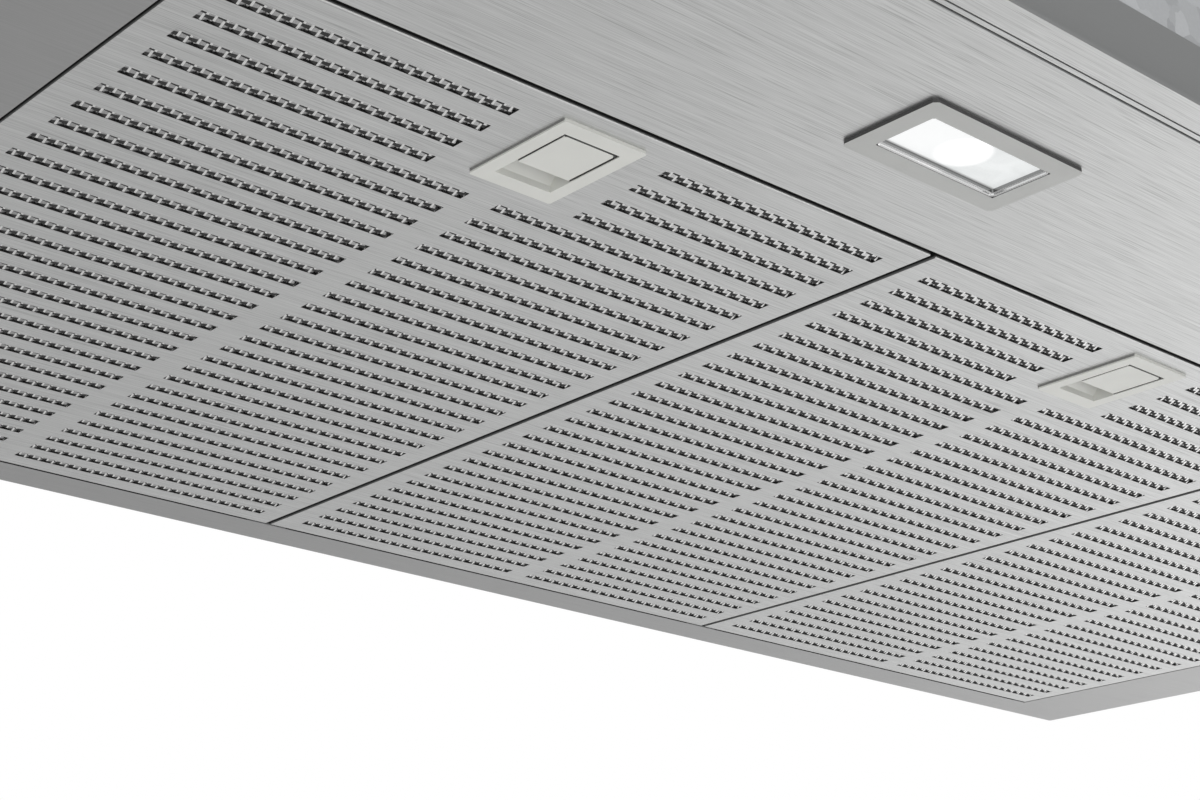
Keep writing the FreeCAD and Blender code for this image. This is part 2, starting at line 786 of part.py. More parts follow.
def front_or_rear_wall(side):
    """The front (side -1) or rear (side 1) sheet, folded in at its ends and top."""
    outer = side * WALL_Y
    inner = side * (WALL_Y - WALL_SHEET)
    folded = side * (WALL_Y - WALL_FOLD)
    half = WALL_X - WALL_SHEET
    top = TOP_INNER - WALL_SHEET
    sheet = block((-half, half), sorted((outer, inner)), (RIM_SHEET, TOP_INNER))
    folds = [sheet]
    for end in (-1, 1):
        x = sorted((end * half, end * (half - WALL_SHEET)))
        folds.append(block(x, sorted((inner, folded)), (RIM_SHEET, top)))
    reach = half - WALL_FOLD - 1
    folds.append(block((-reach, reach), sorted((inner, folded)), (top, TOP_INNER)))
    threads = hole_cutters(screw_places(), SCREW_SHANK, top - 1, TOP_INNER + 1)
    return joined(folds).cut(Part.makeCompound(threads))


def side_wall(side):
    """The left (side -1) or right (side 1) sheet, folded in at the top."""
    outer = side * WALL_X
    inner = side * (WALL_X - WALL_SHEET)
    folded = side * (WALL_X - WALL_FOLD)
    sheet = block(sorted((outer, inner)), (-WALL_Y, WALL_Y), (RIM_SHEET, TOP_INNER))
    reach = WALL_Y - WALL_SHEET
    top_fold = block(sorted((inner, folded)), (-reach, reach), (TOP_INNER - WALL_SHEET, TOP_INNER))
    return joined([sheet, top_fold])


def screw_places():
    """The (x, y) places of the screws round the top sheet."""
    front = WALL_Y - WALL_FOLD / 2
    return [(x, y) for y in (-front, front) for x in SCREW_X]


def collar_screw_places():
    """The (x, y) places of the screws in the collar's plate."""
    reach = COLLAR_PLATE / 2 - 12
    return [(x, COLLAR_Y + y) for x in (-reach, reach) for y in (-reach, reach)]


def hole_cutters(places, width, bottom, top):
    """Upright pierced holes for thread-forming screws."""
    return [hexagon_post(width, x, y, (bottom, top)) for x, y in places]


def lead_hole():
    """The square hole where the wires pass from the terminal box into the raceway."""
    return block(
        centred(RACEWAY_X, LEAD_HOLE),
        centred(TERMINAL_Y, LEAD_HOLE),
        (TOP_INNER - 1, BODY_HEIGHT + TERMINAL_WALL + 1),
    )


def housing_top():
    """The top sheet with the outlet, the hanger holes and the lead hole."""
    sheet = block((-WALL_X, WALL_X), (-WALL_Y, WALL_Y), (TOP_INNER, BODY_HEIGHT))
    neck_front = SCROLL_Y + SCROLL_TONGUE_Y + SCROLL_SHEET
    neck_rear = SCROLL_Y + SCROLL_START_RADIUS + 2.5 * SCROLL_GROWTH - SCROLL_SHEET
    neck_x = (-SCROLL_HALF_WIDTH, SCROLL_HALF_WIDTH)
    neck = block(neck_x, (neck_front, neck_rear), (TOP_INNER - 1, BODY_HEIGHT + 1))
    cuts = [neck]
    for x in (-HANGER_X, HANGER_X):
        for y in (-HANGER_Y, HANGER_Y):
            cuts.append(rod(HANGER_RADIUS, Vector(x, y, TOP_INNER - 1), UP, 4))
    cuts.append(lead_hole())
    cuts += hole_cutters(screw_places(), SCREW_HOLE, TOP_INNER - 1, BODY_HEIGHT + 1)
    cuts += hole_cutters(collar_screw_places(), SCREW_SHANK, TOP_INNER - 1, BODY_HEIGHT + 1)
    return sheet.cut(Part.makeCompound(cuts))


def hex_screw(x, y, seat):
    """A thread-forming screw whose hexagonal head rests on a seat."""
    shank = hexagon_post(SCREW_SHANK, x, y, (seat - SCREW_LENGTH, seat + 1))
    head = hexagon_post(SCREW_HEAD, x, y, (seat, seat + SCREW_HEAD_HEIGHT))
    return joined([shank, head])


def housing_screws():
    """Every screw on the top of the housing, as separate solids."""
    screws = [hex_screw(x, y, BODY_HEIGHT) for x, y in screw_places()]
    flange_top = BODY_HEIGHT + COLLAR_WALL
    return screws + [hex_screw(x, y, flange_top) for x, y in collar_screw_places()]


# Outlet


def duct_collar():
    """A round collar on a square plate, with a stop for each damper flap and a saddle for the pins."""
    base = Vector(0, COLLAR_Y, BODY_HEIGHT)
    half = COLLAR_PLATE / 2
    inner = COLLAR_RADIUS - COLLAR_WALL
    plate_top = BODY_HEIGHT + COLLAR_WALL
    plate = block((-half, half), (COLLAR_Y - half, COLLAR_Y + half), (BODY_HEIGHT, plate_top))
    wall = rod(COLLAR_RADIUS, base, UP, COLLAR_WALL + COLLAR_HEIGHT)
    bore = rod(inner, base, UP, COLLAR_WALL + COLLAR_HEIGHT + 1)
    collar = joined([plate, wall]).cut(bore)
    pieces = [collar]
    saddle_half = DAMPER_AXIS_X + DAMPER_PIN_RADIUS
    saddle_top = BODY_HEIGHT + DAMPER_AXIS_Z - DAMPER_PIN_RADIUS
    for side in (-1, 1):
        x = sorted((side * (inner + 0.5), side * (inner - DAMPER_STOP)))
        y = sorted((COLLAR_Y + side * (DAMPER_KNUCKLE_HALF + 1), COLLAR_Y + side * inner))
        pieces.append(block(x, centred(COLLAR_Y, 10), (BODY_HEIGHT, plate_top)))
        pieces.append(block((-saddle_half, saddle_half), y, (BODY_HEIGHT, saddle_top)))
    holes = hole_cutters(collar_screw_places(), SCREW_HOLE, BODY_HEIGHT - 1, BODY_HEIGHT + 5)
    return joined(pieces).cut(Part.makeCompound(holes))


def damper_pins():
    """Two rods on the damper's axes, from saddle to saddle of the collar."""
    inner = COLLAR_RADIUS - COLLAR_WALL
    reach = math.sqrt(inner**2 - (DAMPER_AXIS_X + DAMPER_PIN_RADIUS) ** 2) - 0.1
    axis_z = BODY_HEIGHT + DAMPER_AXIS_Z
    pins = []
    for side in (-1, 1):
        start = Vector(side * DAMPER_AXIS_X, COLLAR_Y - reach, axis_z)
        pins.append(rod(DAMPER_PIN_RADIUS, start, ALONG_Y, 2 * reach))
    return pins


def damper_flap(side):
    """A half-round flap with an eight-sided knuckle round its pin; side -1 is the left one."""
    axis_z = BODY_HEIGHT + DAMPER_AXIS_Z
    plate_low = BODY_HEIGHT + COLLAR_WALL + 0.3
    turn = 360 / DAMPER_SIDES
    corners = [on_circle(DAMPER_FLAP_RADIUS, turn * index) for index in range(DAMPER_SIDES)]
    outline = [(corner.y, COLLAR_Y + corner.z) for corner in corners]
    disc = plan_profile(outline, (plate_low, plate_low + DAMPER_SHEET))
    near = side * (DAMPER_AXIS_X + DAMPER_PIN_RADIUS + 0.4)
    far = side * (DAMPER_FLAP_RADIUS + 1)
    half_depth = DAMPER_FLAP_RADIUS + 1
    half_plane = block(
        sorted((near, far)),
        (COLLAR_Y - half_depth, COLLAR_Y + half_depth),
        (plate_low - 1, plate_low + DAMPER_SHEET + 1),
    )
    start = Vector(side * DAMPER_AXIS_X, COLLAR_Y - DAMPER_KNUCKLE_HALF, axis_z)
    step = 360 / DAMPER_KNUCKLE_SIDES
    ring = [
        on_circle(DAMPER_KNUCKLE_RADIUS, step * (index + 0.5))
        for index in range(DAMPER_KNUCKLE_SIDES)
    ]
    section = [start + Vector(corner.y, 0, corner.z) for corner in ring]
    knuckle = Part.Face(Part.makePolygon(section + section[:1])).extrude(
        ALONG_Y * 2 * DAMPER_KNUCKLE_HALF
    )
    bore = rod(DAMPER_PIN_RADIUS + 0.07, start - ALONG_Y, ALONG_Y, 2 * DAMPER_KNUCKLE_HALF + 2)
    return joined([disc.common(half_plane), knuckle]).cut(bore)


# Blower


def scroll_outline(inset, top, x):
    """The scroll's side outline at an inset: three quarter turns that grow, then the outlet neck."""
    radius = SCROLL_START_RADIUS - inset
    step = SCROLL_GROWTH / 2
    points = []
    centres = ((-step, -step), (step, -step), (step, step))
    for turn, (centre_y, centre_z) in enumerate(centres):
        for angle in range(90 + 90 * turn, 181 + 90 * turn, SCROLL_FLAT):
            corner = on_circle(radius + turn * SCROLL_GROWTH, angle)
            point = (SCROLL_Y + centre_y + corner.y, SCROLL_Z + centre_z + corner.z)
            if not points or math.dist(point, points[-1]) > 1e-6:
                points.append(point)
    tongue_y = SCROLL_Y + SCROLL_TONGUE_Y + inset
    points += [(points[-1][0], top), (tongue_y, top), (tongue_y, points[0][1])]
    return side_profile(points, x)


def on_circle(radius, angle):
    """A point on a circle in the YZ plane, from its angle in degrees above +Y."""
    turn = math.radians(angle)
    return Vector(0, radius * math.cos(turn), radius * math.sin(turn))


def blower_scroll():
    """The scroll housing: a spiral wall of short flats between two cheeks, with an inlet in each."""
    outside = SCROLL_HALF_WIDTH + SCROLL_SHEET
    shell = scroll_outline(0, TOP_INNER, (-outside, outside))
    hollow = scroll_outline(SCROLL_SHEET, TOP_INNER + 5, (-SCROLL_HALF_WIDTH, SCROLL_HALF_WIDTH))
    inlets = wheel_prism(INLET_RADIUS, 0, (-outside - 1, outside + 1), INLET_SIDES)
    inlets.translate(Vector(0, SCROLL_Y, SCROLL_Z))
    return shell.cut(hollow).cut(inlets)


def blower_brackets():
    """Two angles that hang the scroll from the top sheet."""
    outside = SCROLL_HALF_WIDTH + SCROLL_SHEET
    brackets = []
    for side in (-1, 1):
        upright = block(
            sorted((side * outside, side * (outside + 2))), (0, 80), (TOP_INNER - 45, TOP_INNER)
        )
        foot = block(
            sorted((side * outside, side * (outside + 26))), (0, 80), (TOP_INNER - 2, TOP_INNER)
        )
        brackets.append(joined([upright, foot]))
    return brackets


def blade():
    """One forward-curved blade: a strip bent at its middle, from root to tip, over the wheel's width."""
    root = on_circle(BLADE_ROOT_RADIUS - 0.5, 0)
    tip = on_circle(WHEEL_RADIUS - 0.5, BLADE_LEAN)
    chord = tip - root
    across = Vector(0, chord.z, -chord.y).normalize()
    middle = (root + tip) * 0.5 + across * BLADE_BOW
    front = [root, middle, tip]
    back = [point - across * BLADE_SHEET for point in reversed(front)]
    points = [(point.y, point.z) for point in front + back]
    return side_profile(points, (-WHEEL_HALF_WIDTH, WHEEL_HALF_WIDTH))


def wheel_prism(radius, start_angle, x, sides=BLADE_COUNT):
    """A many-sided prism about the wheel's axis, with a corner at the start angle."""
    corners = [on_circle(radius, start_angle + 360.0 * index / sides) for index in range(sides)]
    return side_profile([(corner.y, corner.z) for corner in corners], x)


def impeller():
    """The double-inlet wheel: blades between two end rings, and a middle disc with a hub."""
    first = blade()
    blades = []
    for index in range(BLADE_COUNT):
        turned = first.copy()
        turned.rotate(Vector(0, 0, 0), ALONG_X, 360.0 * index / BLADE_COUNT)
        blades.append(turned)
    rings = []
    for start in (-WHEEL_HALF_WIDTH, WHEEL_HALF_WIDTH - WHEEL_RING):
        x = (start, start + WHEEL_RING)
        ring = wheel_prism(WHEEL_RADIUS, BLADE_LEAN, x)
        rings.append(ring.cut(wheel_prism(BLADE_ROOT_RADIUS - 1, 0, x)))
    half_pitch = 180.0 / BLADE_COUNT
    disc = wheel_prism(BLADE_ROOT_RADIUS + 2, half_pitch, (-WHEEL_RING / 2, WHEEL_RING / 2))
    hub = hexagon(HUB_WIDTH, (-4, 10), 0, 0)
    wheel = joined(blades + rings + [disc, hub])
    wheel = wheel.cut(rod(SHAFT_RADIUS, Vector(-5, 0, 0), ALONG_X, 16))
    wheel.translate(Vector(0, SCROLL_Y, SCROLL_Z))
    return wheel


def motor_shaft():
    """The shaft from the motor's far bearing to the wheel's hub."""
    start = Vector(MOTOR_END_X + 8, SCROLL_Y, SCROLL_Z)
    return rod(SHAFT_RADIUS, start, ALONG_X, 10 - start.x)


def motor():
    """The motor: a square core with cut corners between two end shields, and a bore for the shaft."""
    shield = 14.0
    x = (MOTOR_END_X, MOTOR_FACE_X)
    core = side_profile(cut_square(MOTOR_STACK), (x[0] + shield, x[1] - shield))
    shields = side_profile(cut_square(MOTOR_SHIELD), x)
    bore_start = Vector(MOTOR_END_X + 7, SCROLL_Y, SCROLL_Z)
    bore = rod(SHAFT_RADIUS + SHAFT_CLEARANCE, bore_start, ALONG_X, MOTOR_FACE_X - bore_start.x + 1)
    return joined([core, shields]).cut(bore)


def cut_square(width):
    """The (y, z) points of a square with cut corners about the blower's axis."""
    half = width / 2
    near = half - MOTOR_CORNER * width / MOTOR_STACK
    signs = ((1, 1), (-1, 1), (-1, -1), (1, -1))
    points = []
    for index, (sign_y, sign_z) in enumerate(signs):
        pair = [(half, near), (near, half)]
        if index % 2:
            pair.reverse()
        points += [(SCROLL_Y + sign_y * y, SCROLL_Z + sign_z * z) for y, z in pair]
    return points


def motor_bracket():
    """A plate with flat arms across the left inlet, standing off the scroll's cheek on pads."""
    centre = Vector(MOTOR_END_X - 2, SCROLL_Y, SCROLL_Z)
    plate = block(
        (centre.x, centre.x + 2), centred(SCROLL_Y, BRACKET_PLATE), centred(SCROLL_Z, BRACKET_PLATE)
    )
    pieces = [plate]
    for index in range(ARM_COUNT):
        arm = block((0, 2), (0, ARM_RADIUS), centred(0, ARM_WIDTH))
        pad = block((-2, 0.5), (ARM_RADIUS - 12, ARM_RADIUS), centred(0, ARM_WIDTH))
        leg = joined([arm, pad])
        leg.rotate(Vector(0, 0, 0), ALONG_X, 45 + 360.0 * index / ARM_COUNT)
        leg.translate(centre)
        pieces.append(leg)
    return joined(pieces)


# Supply connection


def terminal_box():
    """An open box on the top sheet, with a gland hole in its left end and a hole in its floor."""
    x = centred(TERMINAL_X, TERMINAL_WIDTH)
    y = centred(TERMINAL_Y, TERMINAL_DEPTH)
    top = BODY_HEIGHT + TERMINAL_HEIGHT
    box = block(x, y, (BODY_HEIGHT, top))
    hollow = block(
        (x[0] + TERMINAL_WALL, x[1] - TERMINAL_WALL),
        (y[0] + TERMINAL_WALL, y[1] - TERMINAL_WALL),
        (BODY_HEIGHT + TERMINAL_WALL, top + 1),
    )
    gland_hole = hexagon(
        GLAND_STUB, (x[0] - 1, x[0] + 3), TERMINAL_Y, BODY_HEIGHT + GLAND_HEIGHT
    )
    return box.cut(Part.makeCompound([hollow, gland_hole, lead_hole()]))


def terminal_cover():
    """The terminal box's lid, with its skirt inside the walls."""
    top = BODY_HEIGHT + TERMINAL_HEIGHT
    lid = eased(
        centred(TERMINAL_X, TERMINAL_WIDTH + 2),
        centred(TERMINAL_Y, TERMINAL_DEPTH + 2),
        (top, top + TERMINAL_WALL),
        1.0,
    )
    inside = 2 * TERMINAL_WALL + 0.4
    skirt_x = centred(TERMINAL_X, TERMINAL_WIDTH - inside)
    skirt_y = centred(TERMINAL_Y, TERMINAL_DEPTH - inside)
    skirt = block(skirt_x, skirt_y, (top - 5, top))
    hollow = block(
        (skirt_x[0] + 1, skirt_x[1] - 1), (skirt_y[0] + 1, skirt_y[1] - 1), (top - 6, top)
    )
    return joined([lid, skirt.cut(hollow)])


def terminal_block():
    """A three-pole screw terminal strip on the box's floor."""
    floor = BODY_HEIGHT + TERMINAL_WALL
    low_x = TERMINAL_X + 12.0
    pole = 11.0
    base = block((low_x, low_x + 3 * pole), (TERMINAL_Y - 28, TERMINAL_Y - 8), (floor, floor + 10))
    poles = [
        block(
            (low_x + index * pole + 1, low_x + (index + 1) * pole - 1),
            (TERMINAL_Y - 24, TERMINAL_Y - 12),
            (floor + 9, floor + 16),
        )
        for index in range(3)
    ]
    return joined([base] + poles)


def cable_gland():
    """The supply inlet: a hexagon cap and nut outside, a stub through the wall and a lock nut inside."""
    wall = TERMINAL_X - TERMINAL_WIDTH / 2
    height = BODY_HEIGHT + GLAND_HEIGHT
    cap = hexagon(20.0, (wall - 18, wall - 6), TERMINAL_Y, height)
    nut = hexagon(23.0, (wall - 6, wall), TERMINAL_Y, height)
    stub = hexagon(GLAND_STUB, (wall - 1, wall + 10), TERMINAL_Y, height)
    lock = hexagon(
        22.0, (wall + TERMINAL_WALL, wall + TERMINAL_WALL + 4), TERMINAL_Y, height
    )
    bore = rod(GLAND_BORE, Vector(wall - 20, TERMINAL_Y, height), ALONG_X, 40)
    return joined([cap, nut, stub, lock]).cut(bore)


def wiring_raceway():
    """The rectangular duct for the wires: under the top sheet, then down into the channel."""
    outer = raceway_run(0, TOP_INNER, CHANNEL_TOP - 4)
    inner = raceway_run(RACEWAY_SHEET, TOP_INNER + 1, CHANNEL_TOP - 5)
    return outer.cut(inner)


def raceway_run(inset, top, low):
    """The raceway's outline at an inset, as a level run and a drop."""
    x = (RACEWAY_X - RACEWAY_WIDTH / 2 + inset, RACEWAY_X + RACEWAY_WIDTH / 2 - inset)
    level = block(
        x,
        (RACEWAY_FRONT + inset, TERMINAL_Y + RACEWAY_WIDTH / 2 - inset),
        (TOP_INNER - RACEWAY_DEPTH + inset, top),
    )
    drop = block(
        x, (RACEWAY_FRONT + inset, RACEWAY_FRONT + RACEWAY_DEPTH - inset), (low, TOP_INNER - 1)
    )
    return joined([level, drop])


def motor_capacitor():
    """The motor's capacitor: a moulded block with a fixing ear, under the top sheet."""
    x = centred(CAPACITOR_X, 48.0)
    case = eased(x, centred(CAPACITOR_Y, 22.0), (TOP_INNER - 34, TOP_INNER - 1), 1.5)
    ear = block((x[0] - 12, x[1] + 2), centred(CAPACITOR_Y, 16.0), (TOP_INNER - 2, TOP_INNER))
    return joined([case, ear])


def main():
    os.makedirs("parts", exist_ok=True)
    save("underside_frame", underside_frame())
    save("light_panel", light_panel())
    save("channel_cover", channel_cover())
    for index, name in enumerate(FILTER_NAMES):
        centre = filter_centre(index)
        save("filter_face_" + name, filter_face(centre))
        save("filter_mesh_" + name, filter_mesh(centre))
        save("filter_back_" + name, filter_back(centre))
        save("latch_bezel_" + name, latch_bezel(centre))
        save("latch_flap_" + name, latch_flap(centre))
        save("latch_bolt_" + name, latch_bolt(centre))
        save("latch_spring_" + name, latch_spring(centre))
    for name, centre in (("left", -LAMP_X), ("right", LAMP_X)):
        save("light_bezel_" + name, light_bezel(centre))
        save("light_lens_" + name, light_lens(centre))
    save("light_cans", light_can(-LAMP_X), light_can(LAMP_X))
    save("led_boards", led_board(-LAMP_X), led_board(LAMP_X))
    save("control_bezel", control_bezel())
    for index, name in enumerate(BUTTON_NAMES):
        save("button_" + name, push_button(button_centre(index)))
    save("switch_block", switch_block())
    save("control_module", control_module())
    save("housing_front", front_or_rear_wall(-1))
    save("housing_rear", front_or_rear_wall(1))
    save("housing_left", side_wall(-1))
    save("housing_right", side_wall(1))
    save("housing_top", housing_top())
    save("housing_screws", *housing_screws())
    save("duct_collar", duct_collar())
    save("damper_pins", *damper_pins())
    save("damper_flap_left", damper_flap(-1))
    save("damper_flap_right", damper_flap(1))
    save("blower_scroll", blower_scroll())
    save("blower_brackets", *blower_brackets())
    save("impeller", impeller())
    save("motor_shaft", motor_shaft())
    save("motor", motor())
    save("motor_bracket", motor_bracket())
    save("terminal_box", terminal_box())
    save("terminal_cover", terminal_cover())
    save("terminal_block", terminal_block())
    save("cable_gland", cable_gland())
    save("wiring_raceway", wiring_raceway())
    save("motor_capacitor", motor_capacitor())


main()
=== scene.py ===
import math

import bpy
import numpy as np
from bpy.props import FloatProperty, FloatVectorProperty, PointerProperty
from mathutils import Matrix, Vector


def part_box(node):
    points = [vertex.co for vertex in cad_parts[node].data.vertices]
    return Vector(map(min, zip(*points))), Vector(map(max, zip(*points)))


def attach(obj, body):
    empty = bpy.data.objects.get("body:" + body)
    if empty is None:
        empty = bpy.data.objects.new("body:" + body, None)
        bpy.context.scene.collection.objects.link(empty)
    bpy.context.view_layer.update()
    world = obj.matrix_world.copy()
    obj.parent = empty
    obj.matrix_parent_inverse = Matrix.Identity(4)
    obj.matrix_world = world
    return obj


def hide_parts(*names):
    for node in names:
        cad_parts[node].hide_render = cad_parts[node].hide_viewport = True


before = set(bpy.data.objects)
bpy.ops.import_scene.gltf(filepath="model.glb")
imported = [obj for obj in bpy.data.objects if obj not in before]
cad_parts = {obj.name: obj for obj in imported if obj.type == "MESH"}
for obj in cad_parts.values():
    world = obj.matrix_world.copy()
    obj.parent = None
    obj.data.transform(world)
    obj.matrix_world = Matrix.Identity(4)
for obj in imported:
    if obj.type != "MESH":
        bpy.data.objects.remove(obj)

bl_info = {
    "name": "Range Hood Insert",
    "version": (1, 0, 0),
    "blender": (4, 5, 0),
    "location": "View3D > Sidebar > Range Hood",
    "description": "Finishes and fine pieces for a range hood insert with slotted mesh filters",
    "category": "Object",
}

FILTERS = ("left", "middle", "right")
LAMPS = ("left", "right")
BUTTONS = ("light", "off", "low", "medium", "high")
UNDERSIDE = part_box("underside_frame")[0].z
FILTER_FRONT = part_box("filter_face_left")[0].y
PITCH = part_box("filter_face_right")[0].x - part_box("filter_face_middle")[0].x
SKIN = 0.00005  # a wall's points lie within this of its plane

# Bounds on the underside, in metres, where the steel changes its look
RIM_SIDE = 0.3944
RIM_REAR = 0.2343
OPENING_REACH = 0.2445
SLOTS_REACH = 0.1215
SLOTS_START = 0.002

# Where the mesh lies on a filter's face: behind its front wall, before its rear wall, out from its middle
MESH_FRONT = 0.0104
MESH_REAR = 0.2262
MESH_REACH = 0.1195
MESH_MIDDLE = 0.0036
MESH_LATCH_REACH = 0.0125
MESH_LATCH_GAP = 0.0005
MESH_RAISE = 0.0001

# The gap round a latch's flap
FLAP_INSET = (0.0018, 0.0006)
FLAP_GAP = 0.0011
FLAP_DEPTH = 0.0002

# The opening in a lamp's frame
LAMP_HALF_X = 0.02575
LAMP_HALF_Y = 0.0107
LAMP_RADIUS = 0.0016
LAMP_PROUD = 0.0012
LAMP_DEPTH = 0.00098
LAMP_MARGIN = 0.00002


# Properties


def colour(name, description, default):
    """A linear colour property."""
    return FloatVectorProperty(
        name=name, description=description, default=default, subtype="COLOR", size=3, min=0.0, max=1.0
    )


def length(name, description, default):
    """A length property in metres."""
    return FloatProperty(
        name=name, description=description, default=default, subtype="DISTANCE", unit="LENGTH", precision=5
    )


class SteelFinish(bpy.types.PropertyGroup):
    """Brushed stainless sheet"""

    light: colour("Light tone", "Colour of the raised streaks", (0.72, 0.725, 0.72))
    dark: colour("Dark tone", "Colour of the grooves between them", (0.58, 0.585, 0.58))
    # painted shade: a darker colour for the rim, standing in for its dimmer reflection
    rim_shade: colour("Rim tone", "Colour of the smooth rim behind and beside the filters", (0.40, 0.40, 0.40))
    # painted shade: a dark grey for upright walls and folds, which face away from the light
    wall: colour("Wall tone", "Colour of the upright walls and folds", (0.26, 0.265, 0.265))
    # painted highlight: a near-white colour for the filters' bent front edges
    edge: colour("Edge tone", "Colour of the filters' bent front edges", (0.96, 0.96, 0.95))
    streak_length: length("Streak length", "Typical length of a scratch", 0.034)
    streak_width: length("Streak width", "Typical width of a scratch", 0.00034)
    roughness: FloatProperty(name="Roughness", description="Mean roughness", default=0.36, min=0.0, max=1.0)


class StrandMesh(bpy.types.PropertyGroup):
    """Expanded metal mesh"""

    long_way: length("Long pitch", "Distance between bonds along the strands", 0.00595)
    short_way: length("Short pitch", "Distance between bonds across the strands", 0.00357)
    strand: length("Strand width", "Width of one strand", 0.0014)
    sheet: length("Sheet thickness", "Thickness of one strand", 0.0003)
    tilt: FloatProperty(
        name="Strand tilt", description="Turn of a strand out of the sheet", default=math.radians(-22), subtype="ANGLE"
    )
    bond: FloatProperty(
        name="Bond share", description="Share of a pitch that a bond takes", default=0.125, min=0.05, max=0.45
    )
    # painted highlight: a near-white colour for the bonds
    metal: colour("Bond", "Colour of the pressed bonds", (0.97, 0.97, 0.96))
    # painted light: the lighter colour for strands that slant one way
    grey: colour("Strand", "Colour of the strands that slant one way", (0.36, 0.36, 0.36))
    # painted shade: the near-black colour for strands that slant the other way
    painted_shading: colour("Dull strand", "Colour of the strands that slant the other way", (0.09, 0.09, 0.09))


class MouldedParts(bpy.types.PropertyGroup):
    """Latches, buttons and other mouldings"""

    latch: colour("Latch", "Colour of the filter latches", (0.86, 0.865, 0.82))
    button: colour("Button", "Colour of the push buttons", (0.62, 0.62, 0.60))
    plate: colour("Button plate", "Colour of the plate round the buttons", (0.36, 0.36, 0.355))
    dark: colour("Dark plastic", "Colour of switches, gland and electronics", (0.03, 0.03, 0.033))
    ivory: colour("Terminal", "Colour of the terminal block", (0.70, 0.67, 0.58))
    capacitor: colour("Capacitor", "Colour of the motor's capacitor", (0.66, 0.66, 0.63))


class LampLook(bpy.types.PropertyGroup):
    """Front lamps"""

    bezel: colour("Bezel", "Colour of the lamp frames", (0.60, 0.605, 0.59))
    glow: FloatProperty(name="Glow", description="Strength of the lens's own light", default=1.0, min=0.0)
    spot: length("Spot radius", "Radius of the bright spot in the lens", 0.0085)
    half_y: length("Lens half width", "Half of the opening across the lens", 0.0100)
    step: length("Trim step", "Width of each step in the lamp's inner wall", 0.0006)


class HiddenSheet(bpy.types.PropertyGroup):
    """Housing, duct and blower"""

    zinc: colour("Zinc", "Mean colour of the zinc-coated sheet", (0.42, 0.43, 0.44))
    spangle: length("Spangle size", "Size of a zinc crystal", 0.009)
    motor: colour("Motor", "Enamel on the motor case", (0.035, 0.035, 0.038))


class Studio(bpy.types.PropertyGroup):
    """Camera, floor and lamps"""

    eye: FloatVectorProperty(
        name="Eye", description="Camera place", default=(-0.6259, -0.5424, -0.574), subtype="TRANSLATION", unit="LENGTH"
    )
    lens: FloatProperty(name="Lens", description="Focal length in millimetres", default=65.51, min=10.0)
    floor_z: length("Floor height", "Height of the floor", -1.35)
    floor: colour("Floor colour", "Colour of floor and backdrop", (0.80, 0.80, 0.80))
    key: FloatProperty(name="Key", description="Watts of the large lamp over the floor", default=150.0, min=0.0)
    side: FloatProperty(name="Side", description="Watts of the lamp at the right", default=5.0, min=0.0)
    fill: FloatProperty(name="Fill", description="Watts of the fill lamp", default=6.0, min=0.0)
    world: FloatProperty(name="World", description="Strength of the even light", default=0.50, min=0.0)


# Shader building


def add(tree, kind, inputs=None, **settings):
    """Adds a node, sets its fields, and feeds its inputs with values or other nodes' outputs."""
    node = tree.nodes.new(kind)
    for name, value in settings.items():
        setattr(node, name, value)
    for key, value in (inputs or {}).items():
        socket = node.inputs[key]
        if isinstance(value, bpy.types.NodeSocket):
            tree.links.new(value, socket)
        else:
            socket.default_value = value
    return node


def maths(tree, operation, a, b=0.0, clamp=False):
    """One Math node's output."""
    node = add(tree, "ShaderNodeMath", {0: a, 1: b}, operation=operation, use_clamp=clamp)
    return node.outputs[0]


def spread(tree, value, low, high, smooth=False):
    """A value carried from (low in, high in) to (low out, high out)."""
    node = add(
        tree,
        "ShaderNodeMapRange",
        {0: value, 1: low[0], 2: high[0], 3: low[1], 4: high[1]},
        interpolation_type="SMOOTHSTEP" if smooth else "LINEAR",
    )
    return node.outputs[0]


def mixed(tree, factor, first, second):
    """Two colours mixed by a factor."""
    node = add(tree, "ShaderNodeMix", {0: factor}, data_type="RGBA")
    for index, value in ((6, first), (7, second)):
        if isinstance(value, bpy.types.NodeSocket):
            tree.links.new(value, node.inputs[index])
        else:
            node.inputs[index].default_value = (*value, 1.0)
    return node.outputs[2]


def new_group(name, inputs, outputs):
    """An empty shader group: inputs are (name, socket type, default), outputs (name, socket type)."""
    group = bpy.data.node_groups.new(name, "ShaderNodeTree")
    for label, kind, default in inputs:
        socket = group.interface.new_socket(label, in_out="INPUT", socket_type=kind)
        if default is not None:
            socket.default_value = default
    for label, kind in outputs:
        group.interface.new_socket(label, in_out="OUTPUT", socket_type=kind)
    source = group.nodes.new("NodeGroupInput").outputs
    return group, source, group.nodes.new("NodeGroupOutput").inputs


